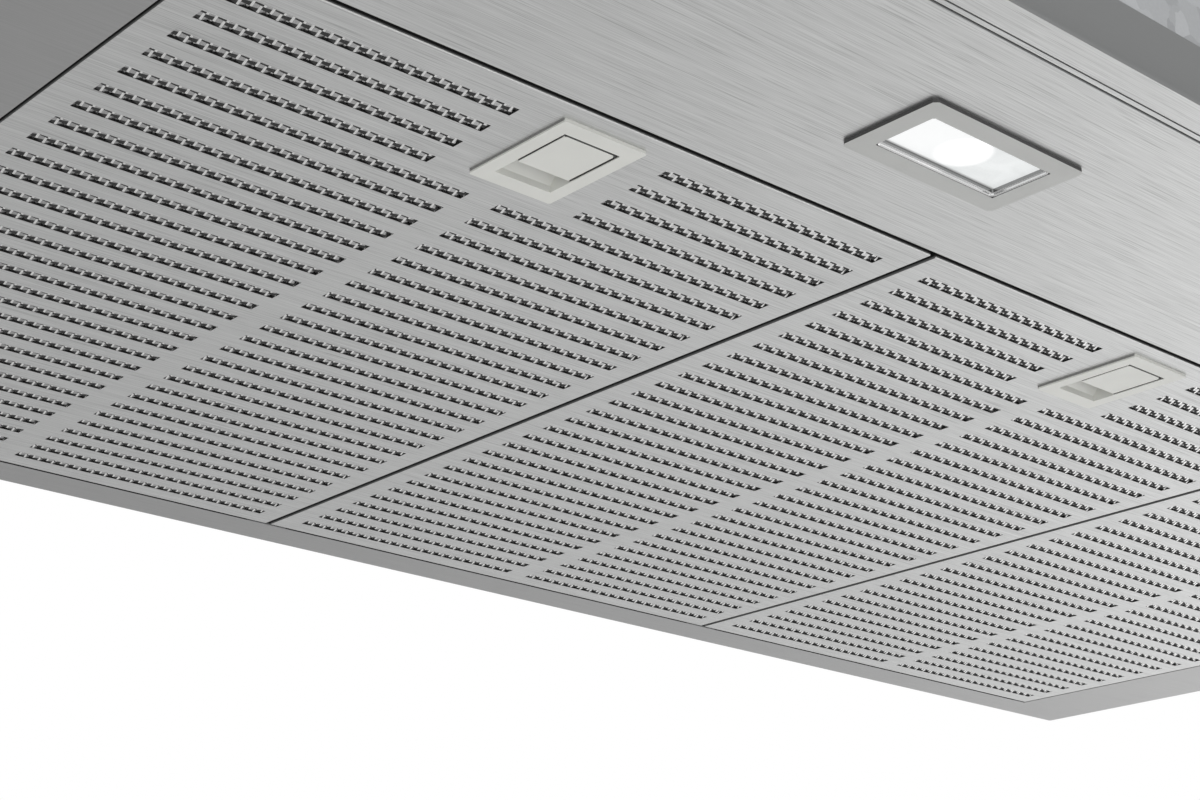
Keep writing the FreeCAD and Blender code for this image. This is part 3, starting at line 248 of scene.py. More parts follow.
def brushed_group():
    """Long fine scratches along X: noise squeezed across the sheet, in three widths, and thin dark lines."""
    group, source, sink = new_group(
        "Brushed grain",
        (
            ("Vector", "NodeSocketVector", None),
            ("Length", "NodeSocketFloat", 0.03),
            ("Width", "NodeSocketFloat", 0.0009),
        ),
        (
            ("Streaks", "NodeSocketFloat"),
            ("Scratches", "NodeSocketFloat"),
            ("Fine", "NodeSocketFloat"),
            ("Height", "NodeSocketFloat"),
        ),
    )
    along = maths(group, "DIVIDE", 1.0, source["Length"])
    across = maths(group, "DIVIDE", 1.0, source["Width"])
    layers = []
    for stretch, squeeze, detail in ((1.0, 1.0, 3.0), (0.5, 0.28, 2.0), (3.0, 3.0, 1.0), (1.3, 1.1, 1.0)):
        scale = add(
            group,
            "ShaderNodeCombineXYZ",
            {
                0: maths(group, "MULTIPLY", along, stretch),
                1: maths(group, "MULTIPLY", across, squeeze),
                2: maths(group, "MULTIPLY", across, squeeze),
            },
        )
        place = add(
            group, "ShaderNodeVectorMath", {0: source["Vector"], 1: scale.outputs[0]}, operation="MULTIPLY"
        )
        noise = add(
            group, "ShaderNodeTexNoise", {"Vector": place.outputs[0], "Scale": 1.0, "Detail": detail}
        )
        layers.append(noise.outputs["Fac"])
    total = maths(group, "ADD", maths(group, "MULTIPLY", layers[0], 0.8), maths(group, "MULTIPLY", layers[1], 0.2))
    group.links.new(spread(group, total, (0.38, 0.0), (0.62, 1.0)), sink["Streaks"])
    group.links.new(spread(group, layers[3], (0.60, 0.0), (0.70, 1.0)), sink["Scratches"])
    group.links.new(layers[2], sink["Fine"])
    height = maths(group, "ADD", maths(group, "MULTIPLY", layers[0], 0.6), maths(group, "MULTIPLY", layers[2], 0.4))
    group.links.new(height, sink["Height"])
    return group


def smudge_group():
    """Broad soft patches of handling and cleaning, from low noise."""
    group, source, sink = new_group(
        "Smudges",
        (("Vector", "NodeSocketVector", None), ("Scale", "NodeSocketFloat", 6.0)),
        (("Patches", "NodeSocketFloat"),),
    )
    noise = add(
        group,
        "ShaderNodeTexNoise",
        {"Vector": source["Vector"], "Scale": source["Scale"], "Detail": 3.0, "Distortion": 0.6},
    )
    group.links.new(spread(group, noise.outputs["Fac"], (0.35, 0.0), (0.65, 1.0), True), sink["Patches"])
    return group


def spangle_group():
    """Zinc crystals: one grey per Voronoi cell, softened by noise."""
    group, source, sink = new_group(
        "Zinc spangle",
        (("Vector", "NodeSocketVector", None), ("Size", "NodeSocketFloat", 0.009)),
        (("Crystal", "NodeSocketFloat"), ("Height", "NodeSocketFloat")),
    )
    scale = maths(group, "DIVIDE", 1.0, source["Size"])
    warp = add(group, "ShaderNodeTexNoise", {"Vector": source["Vector"], "Scale": 160.0, "Detail": 2.0})
    bent = add(
        group,
        "ShaderNodeVectorMath",
        {0: warp.outputs["Color"], "Scale": 0.006},
        operation="SCALE",
    )
    place = add(group, "ShaderNodeVectorMath", {0: source["Vector"], 1: bent.outputs[0]}, operation="ADD")
    cells = add(group, "ShaderNodeTexVoronoi", {"Vector": place.outputs[0], "Scale": scale})
    tone = add(group, "ShaderNodeSeparateColor", {0: cells.outputs["Color"]})
    fine = add(group, "ShaderNodeTexNoise", {"Vector": source["Vector"], "Scale": 900.0, "Detail": 2.0})
    crystal = maths(
        group, "ADD", maths(group, "MULTIPLY", tone.outputs[0], 0.75), maths(group, "MULTIPLY", fine.outputs["Fac"], 0.25)
    )
    group.links.new(crystal, sink["Crystal"])
    group.links.new(fine.outputs["Fac"], sink["Height"])
    return group


def grain_group():
    """A moulding's spark-eroded surface: fine even noise with a second, coarser one."""
    group, source, sink = new_group(
        "Moulded grain",
        (("Vector", "NodeSocketVector", None), ("Scale", "NodeSocketFloat", 2500.0)),
        (("Height", "NodeSocketFloat"), ("Tone", "NodeSocketFloat")),
    )
    fine = add(group, "ShaderNodeTexNoise", {"Vector": source["Vector"], "Scale": source["Scale"], "Detail": 2.0})
    broad = add(group, "ShaderNodeTexNoise", {"Vector": source["Vector"], "Scale": 70.0, "Detail": 2.0})
    group.links.new(fine.outputs["Fac"], sink["Height"])
    group.links.new(broad.outputs["Fac"], sink["Tone"])
    return group


GROUPS = {
    "Brushed grain": brushed_group,
    "Smudges": smudge_group,
    "Zinc spangle": spangle_group,
    "Moulded grain": grain_group,
}


def place_group(tree, name, inputs):
    """Puts a shared group into a material, building it at its first use."""
    group = bpy.data.node_groups.get(name) or GROUPS[name]()
    node = tree.nodes.new("ShaderNodeGroup")
    node.node_tree = group
    for key, value in inputs.items():
        if isinstance(value, bpy.types.NodeSocket):
            tree.links.new(value, node.inputs[key])
        else:
            node.inputs[key].default_value = value
    return node.outputs


def new_material(name):
    """A material, its tree, its Principled shader and its object coordinates."""
    material = bpy.data.materials.new(name)
    material.use_nodes = True
    tree = material.node_tree
    shader = tree.nodes["Principled BSDF"]
    place = tree.nodes.new("ShaderNodeTexCoord").outputs["Object"]
    return material, tree, shader, place


def bumped(tree, shader, height, strength, distance):
    """Feeds a height into the shader's normal."""
    bump = add(tree, "ShaderNodeBump", {"Height": height, "Strength": strength, "Distance": distance})
    tree.links.new(bump.outputs[0], shader.inputs["Normal"])


def dress(material, *nodes):
    """Gives a material to CAD nodes or new pieces."""
    for node in nodes:
        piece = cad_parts[node] if isinstance(node, str) else node
        piece.data.materials.clear()
        piece.data.materials.append(material)


# Finishes


def steel_material(look):
    """Brushed stainless: grain along X on the face, a smoother rim in a darker painted shade, upright walls in painted
    shade and a painted highlight on the filters' bent front edges.

    Walls in slots and seams, which get little light, turn dark with height.
    """
    material, tree, shader, place = new_material("brushed stainless")
    grain = place_group(
        tree, "Brushed grain", {"Vector": place, "Length": look.streak_length, "Width": look.streak_width}
    )
    patches = place_group(tree, "Smudges", {"Vector": place, "Scale": 5.0})["Patches"]
    face = mixed(tree, grain["Streaks"], look.dark, look.light)
    lined = tuple(value * 0.72 for value in look.dark)
    face = mixed(tree, maths(tree, "MULTIPLY", grain["Scratches"], 0.75), face, lined)
    part = add(tree, "ShaderNodeSeparateXYZ", {0: place})
    # painted shade: the rim beside and behind the filters is painted darker, with fainter streaks
    side = maths(tree, "GREATER_THAN", maths(tree, "ABSOLUTE", part.outputs[0]), RIM_SIDE)
    rear = maths(tree, "GREATER_THAN", part.outputs[1], RIM_REAR)
    rim_shade = maths(tree, "MAXIMUM", side, rear)
    smooth = mixed(tree, maths(tree, "MULTIPLY", grain["Streaks"], 0.25), look.rim_shade, look.dark)
    tone = mixed(tree, rim_shade, face, smooth)
    # painted shade: masks for the upright walls, and for the deep walls in gaps and slots
    wall = maths(tree, "GREATER_THAN", part.outputs[2], UNDERSIDE + SKIN)
    deep = spread(tree, part.outputs[2], (UNDERSIDE + 0.0004, 0.0), (UNDERSIDE + 0.0010, 1.0))
    inner = maths(tree, "LESS_THAN", maths(tree, "ABSOLUTE", part.outputs[1]), OPENING_REACH)
    inner = maths(tree, "MULTIPLY", inner, maths(tree, "SUBTRACT", 1.0, side))
    deep = maths(tree, "MULTIPLY", deep, inner)
    across = add(tree, "ShaderNodeMath", {0: part.outputs[0], 1: PITCH / 2, 2: -PITCH / 2}, operation="WRAP")
    beside = maths(tree, "LESS_THAN", maths(tree, "ABSOLUTE", across.outputs[0]), SLOTS_REACH)
    behind = maths(tree, "GREATER_THAN", part.outputs[1], FILTER_FRONT + SLOTS_START)
    deep = maths(tree, "MAXIMUM", deep, maths(tree, "MULTIPLY", beside, maths(tree, "MULTIPLY", behind, inner)))
    # painted shade: walls take the wall tone, going near black where deep
    tone = mixed(tree, wall, tone, mixed(tree, deep, look.wall, (0.02, 0.02, 0.02)))
    # painted highlight: the low part of each filter's bent front edge takes the near-white edge tone, smoother and less
    # metallic
    front = maths(tree, "COMPARE", part.outputs[1], FILTER_FRONT + 0.0002)
    front.node.inputs[2].default_value = 0.00022
    low = maths(tree, "LESS_THAN", part.outputs[2], UNDERSIDE + 0.0004)
    bend = maths(tree, "MULTIPLY", maths(tree, "MULTIPLY", front, wall), low)
    tree.links.new(mixed(tree, bend, tone, look.edge), shader.inputs["Base Color"])
    # painted shading: walls with painted shade, and below also the bent edges with their painted highlight, lose most
    # of their metal so the painted colour shows
    painted_shading = maths(tree, "SUBTRACT", wall, bend)
    gloss = maths(tree, "ADD", look.roughness - 0.08, maths(tree, "MULTIPLY", grain["Fine"], 0.12))
    gloss = maths(tree, "ADD", gloss, maths(tree, "MULTIPLY", patches, 0.04))
    gloss = maths(tree, "SUBTRACT", gloss, maths(tree, "MULTIPLY", bend, 0.12))
    tree.links.new(maths(tree, "ADD", gloss, maths(tree, "MULTIPLY", painted_shading, 0.25)), shader.inputs["Roughness"])
    painted_shading = maths(tree, "ADD", painted_shading, maths(tree, "MULTIPLY", bend, 0.8))
    tree.links.new(maths(tree, "SUBTRACT", 1.0, maths(tree, "MULTIPLY", painted_shading, 0.85)), shader.inputs["Metallic"])
    bumped(tree, shader, grain["Height"], 0.25, 0.0002)
    return material


def mesh_material(look):
    """Rolled aluminium with painted light: a painted highlight on the bonds, strands painted lighter on one slant and
    in painted shade on the other.
    """
    material, tree, shader, place = new_material("expanded mesh")
    grain = place_group(tree, "Moulded grain", {"Vector": place, "Scale": 900.0})
    # painted light: per face, 1 on bonds for the painted highlight, 0.75 or 0.25 on strands by their slant
    painted_facet_light = add(tree, "ShaderNodeAttribute", attribute_name="painted_facet_light").outputs["Fac"]
    strand = mixed(tree, spread(tree, painted_facet_light, (0.25, 0.0), (0.75, 1.0)), look.painted_shading, look.grey)
    tone = mixed(tree, maths(tree, "GREATER_THAN", painted_facet_light, 0.9), strand, look.metal)
    low = (0.82, 0.82, 0.82, 1.0)
    shade = add(tree, "ShaderNodeMix", {0: 1.0, 6: tone, 7: low}, data_type="RGBA", blend_type="MULTIPLY")
    tree.links.new(mixed(tree, grain["Height"], shade.outputs[2], tone), shader.inputs["Base Color"])
    shader.inputs["Metallic"].default_value = 1.0
    tree.links.new(spread(tree, grain["Height"], (0.3, 0.22), (0.7, 0.34)), shader.inputs["Roughness"])
    bumped(tree, shader, grain["Height"], 0.15, 0.0001)
    return material


def plastic_material(name, tone, roughness, scale=2500.0, strength=0.12):
    """A moulding: nearly even colour, fine grain in gloss and height."""
    material, tree, shader, place = new_material(name)
    grain = place_group(tree, "Moulded grain", {"Vector": place, "Scale": scale})
    low = tuple(value * 0.965 for value in tone)
    blend = spread(tree, grain["Tone"], (0.35, 0.0), (0.65, 1.0))
    tree.links.new(mixed(tree, blend, low, tone), shader.inputs["Base Color"])
    tree.links.new(
        spread(tree, grain["Height"], (0.3, roughness - 0.04), (0.7, roughness + 0.04)), shader.inputs["Roughness"]
    )
    bumped(tree, shader, grain["Height"], strength, 0.00005)
    return material


def zinc_material(name, look, dark=1.0):
    """Zinc-coated sheet: crystals that differ in tone and gloss."""
    material, tree, shader, place = new_material(name)
    spangle = place_group(tree, "Zinc spangle", {"Vector": place, "Size": look.spangle})
    low = tuple(value * 0.78 * dark for value in look.zinc)
    high = tuple(min(1.0, value * 1.15) * dark for value in look.zinc)
    tree.links.new(mixed(tree, spangle["Crystal"], low, high), shader.inputs["Base Color"])
    tree.links.new(spread(tree, spangle["Crystal"], (0.0, 0.52), (1.0, 0.34)), shader.inputs["Roughness"])
    shader.inputs["Metallic"].default_value = 0.85
    bumped(tree, shader, spangle["Height"], 0.1, 0.0001)
    return material


def satin_metal(name, tone, roughness, metallic, scale=1400.0):
    """Satin or painted metal with a fine orange-peel grain."""
    material = plastic_material(name, tone, roughness, scale, 0.08)
    material.node_tree.nodes["Principled BSDF"].inputs["Metallic"].default_value = metallic
    return material


def darkened(material, mask_of, tone):
    """Paints shade into a finish: darkens it where a mask made from its object coordinates is 1."""
    tree = material.node_tree
    shader = tree.nodes["Principled BSDF"]
    face = shader.inputs["Base Color"].links[0].from_socket
    place = tree.nodes.new("ShaderNodeTexCoord").outputs["Object"]
    part = add(tree, "ShaderNodeSeparateXYZ", {0: place}).outputs
    tree.links.new(mixed(tree, mask_of(tree, part), face, tone), shader.inputs["Base Color"])


def between(tree, value, low, high):
    """A mask that is 1 where a value lies between two limits."""
    return maths(
        tree, "MULTIPLY", maths(tree, "GREATER_THAN", value, low), maths(tree, "LESS_THAN", value, high)
    )


def above_mask(height):
    """Everything above a height, for walls that turn away from the light."""
    return lambda tree, part: maths(tree, "GREATER_THAN", part[2], height)


def rim_mask(plates, top):
    """Where painted shade goes: the upper half of the left edge of each raised plate, between its face and the sheet it
    lies on.
    """

    def mask(tree, part):
        edge = 0.0
        for low, high in plates:
            edge = maths(tree, "MAXIMUM", edge, between(tree, part[0], low.x - SKIN, low.x + SKIN))
        return maths(tree, "MULTIPLY", edge, between(tree, part[2], (plates[0][0].z + top) / 2, top))

    return mask


def gap_mask(flaps, inset, gap, depth):
    """Where painted shadow goes: the walls of the narrow gap round each flap, from a depth behind the flap's face
    upward.

    The ring starts inside the flap's box by the inset, because the box takes in the pivots.
    """

    def mask(tree, part):
        ring = 0.0
        for low, high in flaps:
            centre, half = (low + high) / 2, (high - low) / 2
            out = [
                maths(
                    tree,
                    "SUBTRACT",
                    maths(tree, "ABSOLUTE", maths(tree, "SUBTRACT", part[i], centre[i])),
                    half[i] - inset[i],
                )
                for i in (0, 1)
            ]
            ring = maths(tree, "MAXIMUM", ring, between(tree, maths(tree, "MAXIMUM", *out), -SKIN, gap))
        return maths(tree, "MULTIPLY", ring, maths(tree, "GREATER_THAN", part[2], flaps[0][0].z + depth))

    return mask


def lens_material(look, centre):
    """Frosted lens lit from behind: a white spot, a greyer glow to its right, and a dark rear edge."""
    material, tree, shader, place = new_material("frosted lens %s" % ("left" if centre.x < 0 else "right"))
    offset = add(tree, "ShaderNodeVectorMath", {0: place, 1: tuple(centre)}, operation="SUBTRACT")
    reach = add(tree, "ShaderNodeVectorMath", {0: offset.outputs[0]}, operation="LENGTH").outputs["Value"]
    haze = place_group(tree, "Smudges", {"Vector": place, "Scale": 90.0})["Patches"]
    part = add(tree, "ShaderNodeSeparateXYZ", {0: offset.outputs[0]})
    frost = place_group(tree, "Moulded grain", {"Vector": place, "Scale": 1800.0})["Height"]
    far = spread(tree, reach, (look.spot * 0.80, 0.0), (look.spot * 1.15, 1.0), True)
    side = spread(tree, part.outputs[0], (-look.spot * 1.4, 0.0), (look.spot * 0.6, 1.0), True)
    glow = mixed(tree, side, (0.87, 0.88, 0.88), mixed(tree, haze, (0.70, 0.72, 0.72), (0.76, 0.78, 0.78)))
    grained = add(tree, "ShaderNodeMix", {0: 1.0, 6: glow}, data_type="RGBA", blend_type="MULTIPLY")
    tree.links.new(mixed(tree, frost, (0.90, 0.90, 0.90), (1.0, 1.0, 1.0)), grained.inputs[7])
    tone = mixed(tree, far, (1.0, 1.0, 1.0), grained.outputs[2])
    edge = spread(tree, part.outputs[1], (look.half_y - 0.0016, 0.0), (look.half_y - 0.0002, 1.0), True)
    tone = mixed(tree, edge, tone, (0.22, 0.22, 0.22))
    tree.links.new(tone, shader.inputs["Emission Color"])
    shader.inputs["Emission Strength"].default_value = look.glow
    tree.links.new(mixed(tree, haze, (0.10, 0.10, 0.10), (0.12, 0.12, 0.12)), shader.inputs["Base Color"])
    shader.inputs["Roughness"].default_value = 0.35
    return material


# Geometry


def mesh_object(name, points, faces, body, smooth=False):
    """A mesh piece from point and face arrays, riding on a body."""
    mesh = bpy.data.meshes.new(name)
    points = np.asarray(points, float).reshape(-1, 3)
    faces = np.asarray(faces, np.int32)
    corners = faces.shape[1]
    mesh.vertices.add(len(points))
    mesh.vertices.foreach_set("co", points.ravel())
    mesh.loops.add(faces.size)
    mesh.loops.foreach_set("vertex_index", faces.ravel())
    mesh.polygons.add(len(faces))
    mesh.polygons.foreach_set("loop_start", np.arange(0, faces.size, corners, dtype=np.int32))
    mesh.polygons.foreach_set("use_smooth", np.full(len(faces), smooth))
    mesh.update(calc_edges=True)
    mesh.validate()
    piece = bpy.data.objects.new(name, mesh)
    bpy.context.scene.collection.objects.link(piece)
    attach(piece, body)
    return piece


def tube_faces(rows, columns, closed_rows):
    """Quads of a grid whose columns close on themselves, and whose rows may."""
    row = np.arange(rows if closed_rows else rows - 1)[:, None]
    column = np.arange(columns)[None, :]
    after = (row + 1) % rows
    beside = (column + 1) % columns
    quads = np.stack(
        [row * columns + column, row * columns + beside, after * columns + beside, after * columns + column], axis=-1
    )
    return quads.reshape(-1, 4)


def strand_block(look, first, count, start, periods, base):
    """Strands of expanded metal, as point and face arrays and a painted light value for each face.

    Strand k runs along X in a flat-topped wave: y = k S/2 + s a t(x) and z = -s c t(x), where s is +1 for even
    and -1 for odd strands, t(x) is +1 on one bond of each long pitch and -1 on the next, a = (S/2 - w cos b) / 2
    and c = w sin b / 2. Its section is a strip w wide and h thick, turned by b out of the sheet. The painted light
    is 1 on the flats of a bond, a painted highlight, 0.75 or 0.25 on the flats between bonds by the way they slant,
    painted light and painted shade, and 0.25 on the edges.
    """
    wide = np.array([0.0, math.cos(look.tilt), math.sin(look.tilt)]) * look.strand / 2
    thick = np.array([0.0, -math.sin(look.tilt), math.cos(look.tilt)]) * look.sheet / 2
    rise = (look.short_way / 2 - 2 * wide[1]) / 2
    lift = wide[2]
    half = look.bond / 2
    phase = np.array([-half, half, 0.5 - half, 0.5 + half])
    wave = np.tile([1.0, 1.0, -1.0, -1.0], periods)
    x = start + (np.arange(periods)[:, None] + phase[None, :]).ravel() * look.long_way
    strand = first + np.arange(count)
    sign = np.where(strand % 2 == 0, 1.0, -1.0)
    line = np.zeros((count, len(x), 3))
    line[..., 0] = x
    line[..., 1] = strand[:, None] * look.short_way / 2 + sign[:, None] * rise * wave
    line[..., 2] = -sign[:, None] * lift * wave
    section = np.stack([-wide - thick, wide - thick, wide + thick, -wide + thick])
    points = line[:, :, None, :] + section[None, None, :, :] + np.asarray(base)
    strip = tube_faces(len(x), 4, False)[:, ::-1]
    last = (len(x) - 1) * 4
    ends = np.array([[0, 1, 2, 3], [last + 3, last + 2, last + 1, last]])
    one = np.concatenate([strip, ends])
    faces = one[None] + (np.arange(count) * len(x) * 4)[:, None, None]
    # painted light: 1 on bond flats, 0.75 or 0.25 on strand flats by their slant, 0.25 on edges
    run = np.resize([0.0, -0.5, 0.0, 0.5], len(x) - 1)
    facing = np.where(run[None, :] == 0.0, 1.0, 0.5 + sign[:, None] * run[None, :] * 0.5)
    painted_facet_light = np.repeat(facing[:, :, None], 4, axis=2)
    painted_facet_light[:, :, 1::2] = 0.25
    painted_facet_light = np.concatenate([painted_facet_light.reshape(count, -1), np.full((count, 2), 0.25)], axis=1)
    return points.reshape(-1, 3), faces.reshape(-1, 4), painted_facet_light.ravel()


def ring_path(centre, half_x, half_y, radius, inset, steps=5):
    """Points of a rectangle with round corners, drawn in by an inset, anticlockwise seen from above."""
    reach_x, reach_y = half_x - inset, half_y - inset
    bend = max(radius - inset, 0.0002)
    turn = np.linspace(0, math.pi / 2, steps)
    corners = []
    for sign_x, sign_y, start in ((1, 1, 0.0), (-1, 1, 0.5), (-1, -1, 1.0), (1, -1, 1.5)):
        angle = turn + start * math.pi
        corners.append(
            np.stack(
                [
                    centre[0] + sign_x * (reach_x - bend) + bend * np.cos(angle),
                    centre[1] + sign_y * (reach_y - bend) + bend * np.sin(angle),
                ],
                axis=-1,
            )
        )
    return np.concatenate(corners)


def stepped_ring(name, centre, half_x, half_y, radius, profile, body):
    """A closed ring: a profile of (inset, height) points carried round a rectangle with round corners."""
    rings = []
    for inset, height in profile:
        path = ring_path(centre, half_x, half_y, radius, inset)
        rings.append(np.column_stack([path, np.full(len(path), height)]))
    points = np.stack(rings)
    return mesh_object(name, points, tube_faces(len(profile), points.shape[1], True), body)


# Operators


class HOOD_OT_steel(bpy.types.Operator):
    """Brush the stainless frame, front panel and filter faces"""

    bl_idname = "hood.steel"
    bl_label = "Brushed Steel"

    def execute(self, context):
        material = steel_material(context.scene.hood_steel)
        dress(material, "underside_frame", "light_panel", *["filter_face_" + name for name in FILTERS])
        return {"FINISHED"}


class HOOD_OT_mesh(bpy.types.Operator):
    """Lay expanded metal behind the slots of each filter"""

    bl_idname = "hood.mesh"
    bl_label = "Filter Mesh"

    def execute(self, context):
        look = context.scene.hood_mesh
        material = mesh_material(look)
        step = look.short_way / 2
        for name in FILTERS:
            low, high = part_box("filter_face_" + name)
            latch_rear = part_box("latch_bezel_" + name)[1].y
            centre = (low.x + high.x) / 2
            front = low.y + MESH_FRONT
            depth = look.strand * abs(math.sin(look.tilt)) + look.sheet / 2
            base = (0.0, front, UNDERSIDE + MESH_RAISE + depth)
            beside = math.ceil((latch_rear + MESH_LATCH_GAP - front) / step)
            total = math.floor((MESH_REAR - front) / step)
            for side, word in ((-1, "a"), (1, "b")):
                long_run = math.ceil(MESH_REACH / look.long_way)
                skipped = math.ceil(MESH_LATCH_REACH / look.long_way)
                edge = MESH_MIDDLE + look.long_way * look.bond / 2
                blocks = []
                for first, count, cut in ((0, beside, skipped), (beside, total - beside, 0)):
                    periods = long_run - cut
                    reach = edge + cut * look.long_way
                    start = centre + reach if side > 0 else centre - reach - (periods - 0.25) * look.long_way
                    blocks.append(strand_block(look, first, count, start, periods, base))
                offset = len(blocks[0][0])
                points = np.concatenate([blocks[0][0], blocks[1][0]])
                faces = np.concatenate([blocks[0][1], blocks[1][1] + offset])
                painted_facet_light = np.concatenate([blocks[0][2], blocks[1][2]])
                piece = mesh_object("mesh_%s_%s" % (name, word), points, faces, "filter_" + name)
                piece.data.attributes.new("painted_facet_light", "FLOAT", "FACE").data.foreach_set("value", painted_facet_light)
                dress(material, piece)
                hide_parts("filter_mesh_" + name)
        # painted shade: the backing behind the mesh is zinc at a tenth of its tone, a dark sheet where there is only
        # shade
        backing = zinc_material("mesh backing", context.scene.hood_sheet, 0.10)
        dress(backing, *["filter_back_" + name for name in FILTERS])
        return {"FINISHED"}


class HOOD_OT_latches(bpy.types.Operator):
    """Mould the filter latches"""

    bl_idname = "hood.latches"
    bl_label = "Latches"

    def execute(self, context):
        look = context.scene.hood_moulded
        material = plastic_material("latch plastic", look.latch, 0.42)
        plates = [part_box("latch_bezel_" + name) for name in FILTERS]
        # painted shade: the upper half of each latch bezel's left outer wall is darkened
        darkened(material, rim_mask(plates, UNDERSIDE), (0.30, 0.30, 0.29))
        flaps = [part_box("latch_flap_" + name) for name in FILTERS]
        # painted shadow: the walls of the gap round each flap are darkened near black
        darkened(material, gap_mask(flaps, FLAP_INSET, FLAP_GAP, FLAP_DEPTH), (0.06, 0.06, 0.06))
        for name in FILTERS:
            dress(material, "latch_bezel_" + name, "latch_flap_" + name, "latch_bolt_" + name)
        spring = satin_metal("spring steel", (0.32, 0.32, 0.33), 0.3, 1.0)
        dress(spring, "motor_shaft", "damper_pins", *["latch_spring_" + name for name in FILTERS])
        return {"FINISHED"}


class HOOD_OT_lamps(bpy.types.Operator):
    """Light the lenses and step the inner walls of the lamp frames"""

    bl_idname = "hood.lamps"
    bl_label = "Lamps"

    def execute(self, context):
        look = context.scene.hood_lamps
        face_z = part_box("light_bezel_left")[0].z
        bezel = satin_metal("lamp bezel", look.bezel, 0.5, 0.35)
        # painted shade: the lamp bezel's walls above its face are darkened
        darkened(bezel, above_mask(face_z + SKIN), (0.10, 0.10, 0.10))
        trim = satin_metal("lamp trim", (0.80, 0.80, 0.80), 0.16, 1.0)
        # painted shade: trim steps more than a millimetre above the face are darkened
        darkened(trim, above_mask(face_z + 0.0010), (0.30, 0.30, 0.30))
        for name in LAMPS:
            dress(bezel, "light_bezel_" + name)
            low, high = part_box("light_lens_" + name)
            centre = (low + high) / 2
            dress(lens_material(look, centre), "light_lens_" + name)
            step = look.step
            top = UNDERSIDE + LAMP_DEPTH
            face = UNDERSIDE - LAMP_PROUD
            profile = [
                (LAMP_MARGIN, top),
                (LAMP_MARGIN, face + 0.0002),
                (step * 0.9, face + 0.0004),
                (step * 1.0, face + 0.0009),
                (step * 1.7, face + 0.0010),
                (step * 1.8, top),
            ]
            ring = stepped_ring(
                "lamp_trim_" + name,
                (centre.x, centre.y),
                LAMP_HALF_X,
                LAMP_HALF_Y,
                LAMP_RADIUS,
                profile,
                "housing",
            )
            dress(trim, ring)
        can = satin_metal("lamp can", (0.6, 0.6, 0.6), 0.3, 1.0)
        dress(can, "light_cans")
        dress(plastic_material("circuit board", (0.62, 0.65, 0.62), 0.3), "led_boards")
        return {"FINISHED"}


class HOOD_OT_controls(bpy.types.Operator):
    """Finish the push buttons, their plate and the parts behind them"""

    bl_idname = "hood.controls"
    bl_label = "Controls"

    def execute(self, context):
        look = context.scene.hood_moulded
        dress(plastic_material("button plate", look.plate, 0.4), "control_bezel")
        dress(plastic_material("button plastic", look.button, 0.25, 1200.0, 0.04), *["button_" + b for b in BUTTONS])
        dark = plastic_material("dark plastic", look.dark, 0.45)
        dress(dark, "switch_block", "control_module", "cable_gland")
        return {"FINISHED"}


class HOOD_OT_housing(bpy.types.Operator):
    """Coat the housing, channel and duct collar with zinc"""

    bl_idname = "hood.housing"
    bl_label = "Housing"

    def execute(self, context):
        look = context.scene.hood_sheet
        zinc = zinc_material("zinc sheet", look)
        dress(
            zinc,
            "channel_cover",
            "housing_front",
            "housing_rear",
            "housing_left",
            "housing_right",
            "housing_top",
            "duct_collar",
            "damper_flap_left",
            "damper_flap_right",
            "terminal_box",
            "terminal_cover",
            "wiring_raceway",
        )
        dress(satin_metal("zinc screw", (0.55, 0.55, 0.53), 0.22, 1.0), "housing_screws")
        return {"FINISHED"}


class HOOD_OT_blower(bpy.types.Operator):
    """Finish the blower and its motor"""

    bl_idname = "hood.blower"
    bl_label = "Blower"

    def execute(self, context):
        look = context.scene.hood_sheet
        dress(zinc_material("blower sheet", look, 0.92), "blower_scroll", "blower_brackets", "impeller", "motor_bracket")
        dress(satin_metal("motor enamel", look.motor, 0.32, 0.0), "motor")
        return {"FINISHED"}


class HOOD_OT_supply(bpy.types.Operator):
    """Finish the terminal block and the motor's capacitor"""

    bl_idname = "hood.supply"
    bl_label = "Supply"

    def execute(self, context):
        look = context.scene.hood_moulded
        dress(plastic_material("terminal plastic", look.ivory, 0.4), "terminal_block")
        dress(plastic_material("capacitor plastic", look.capacitor, 0.38), "motor_capacitor")
        return {"FINISHED"}


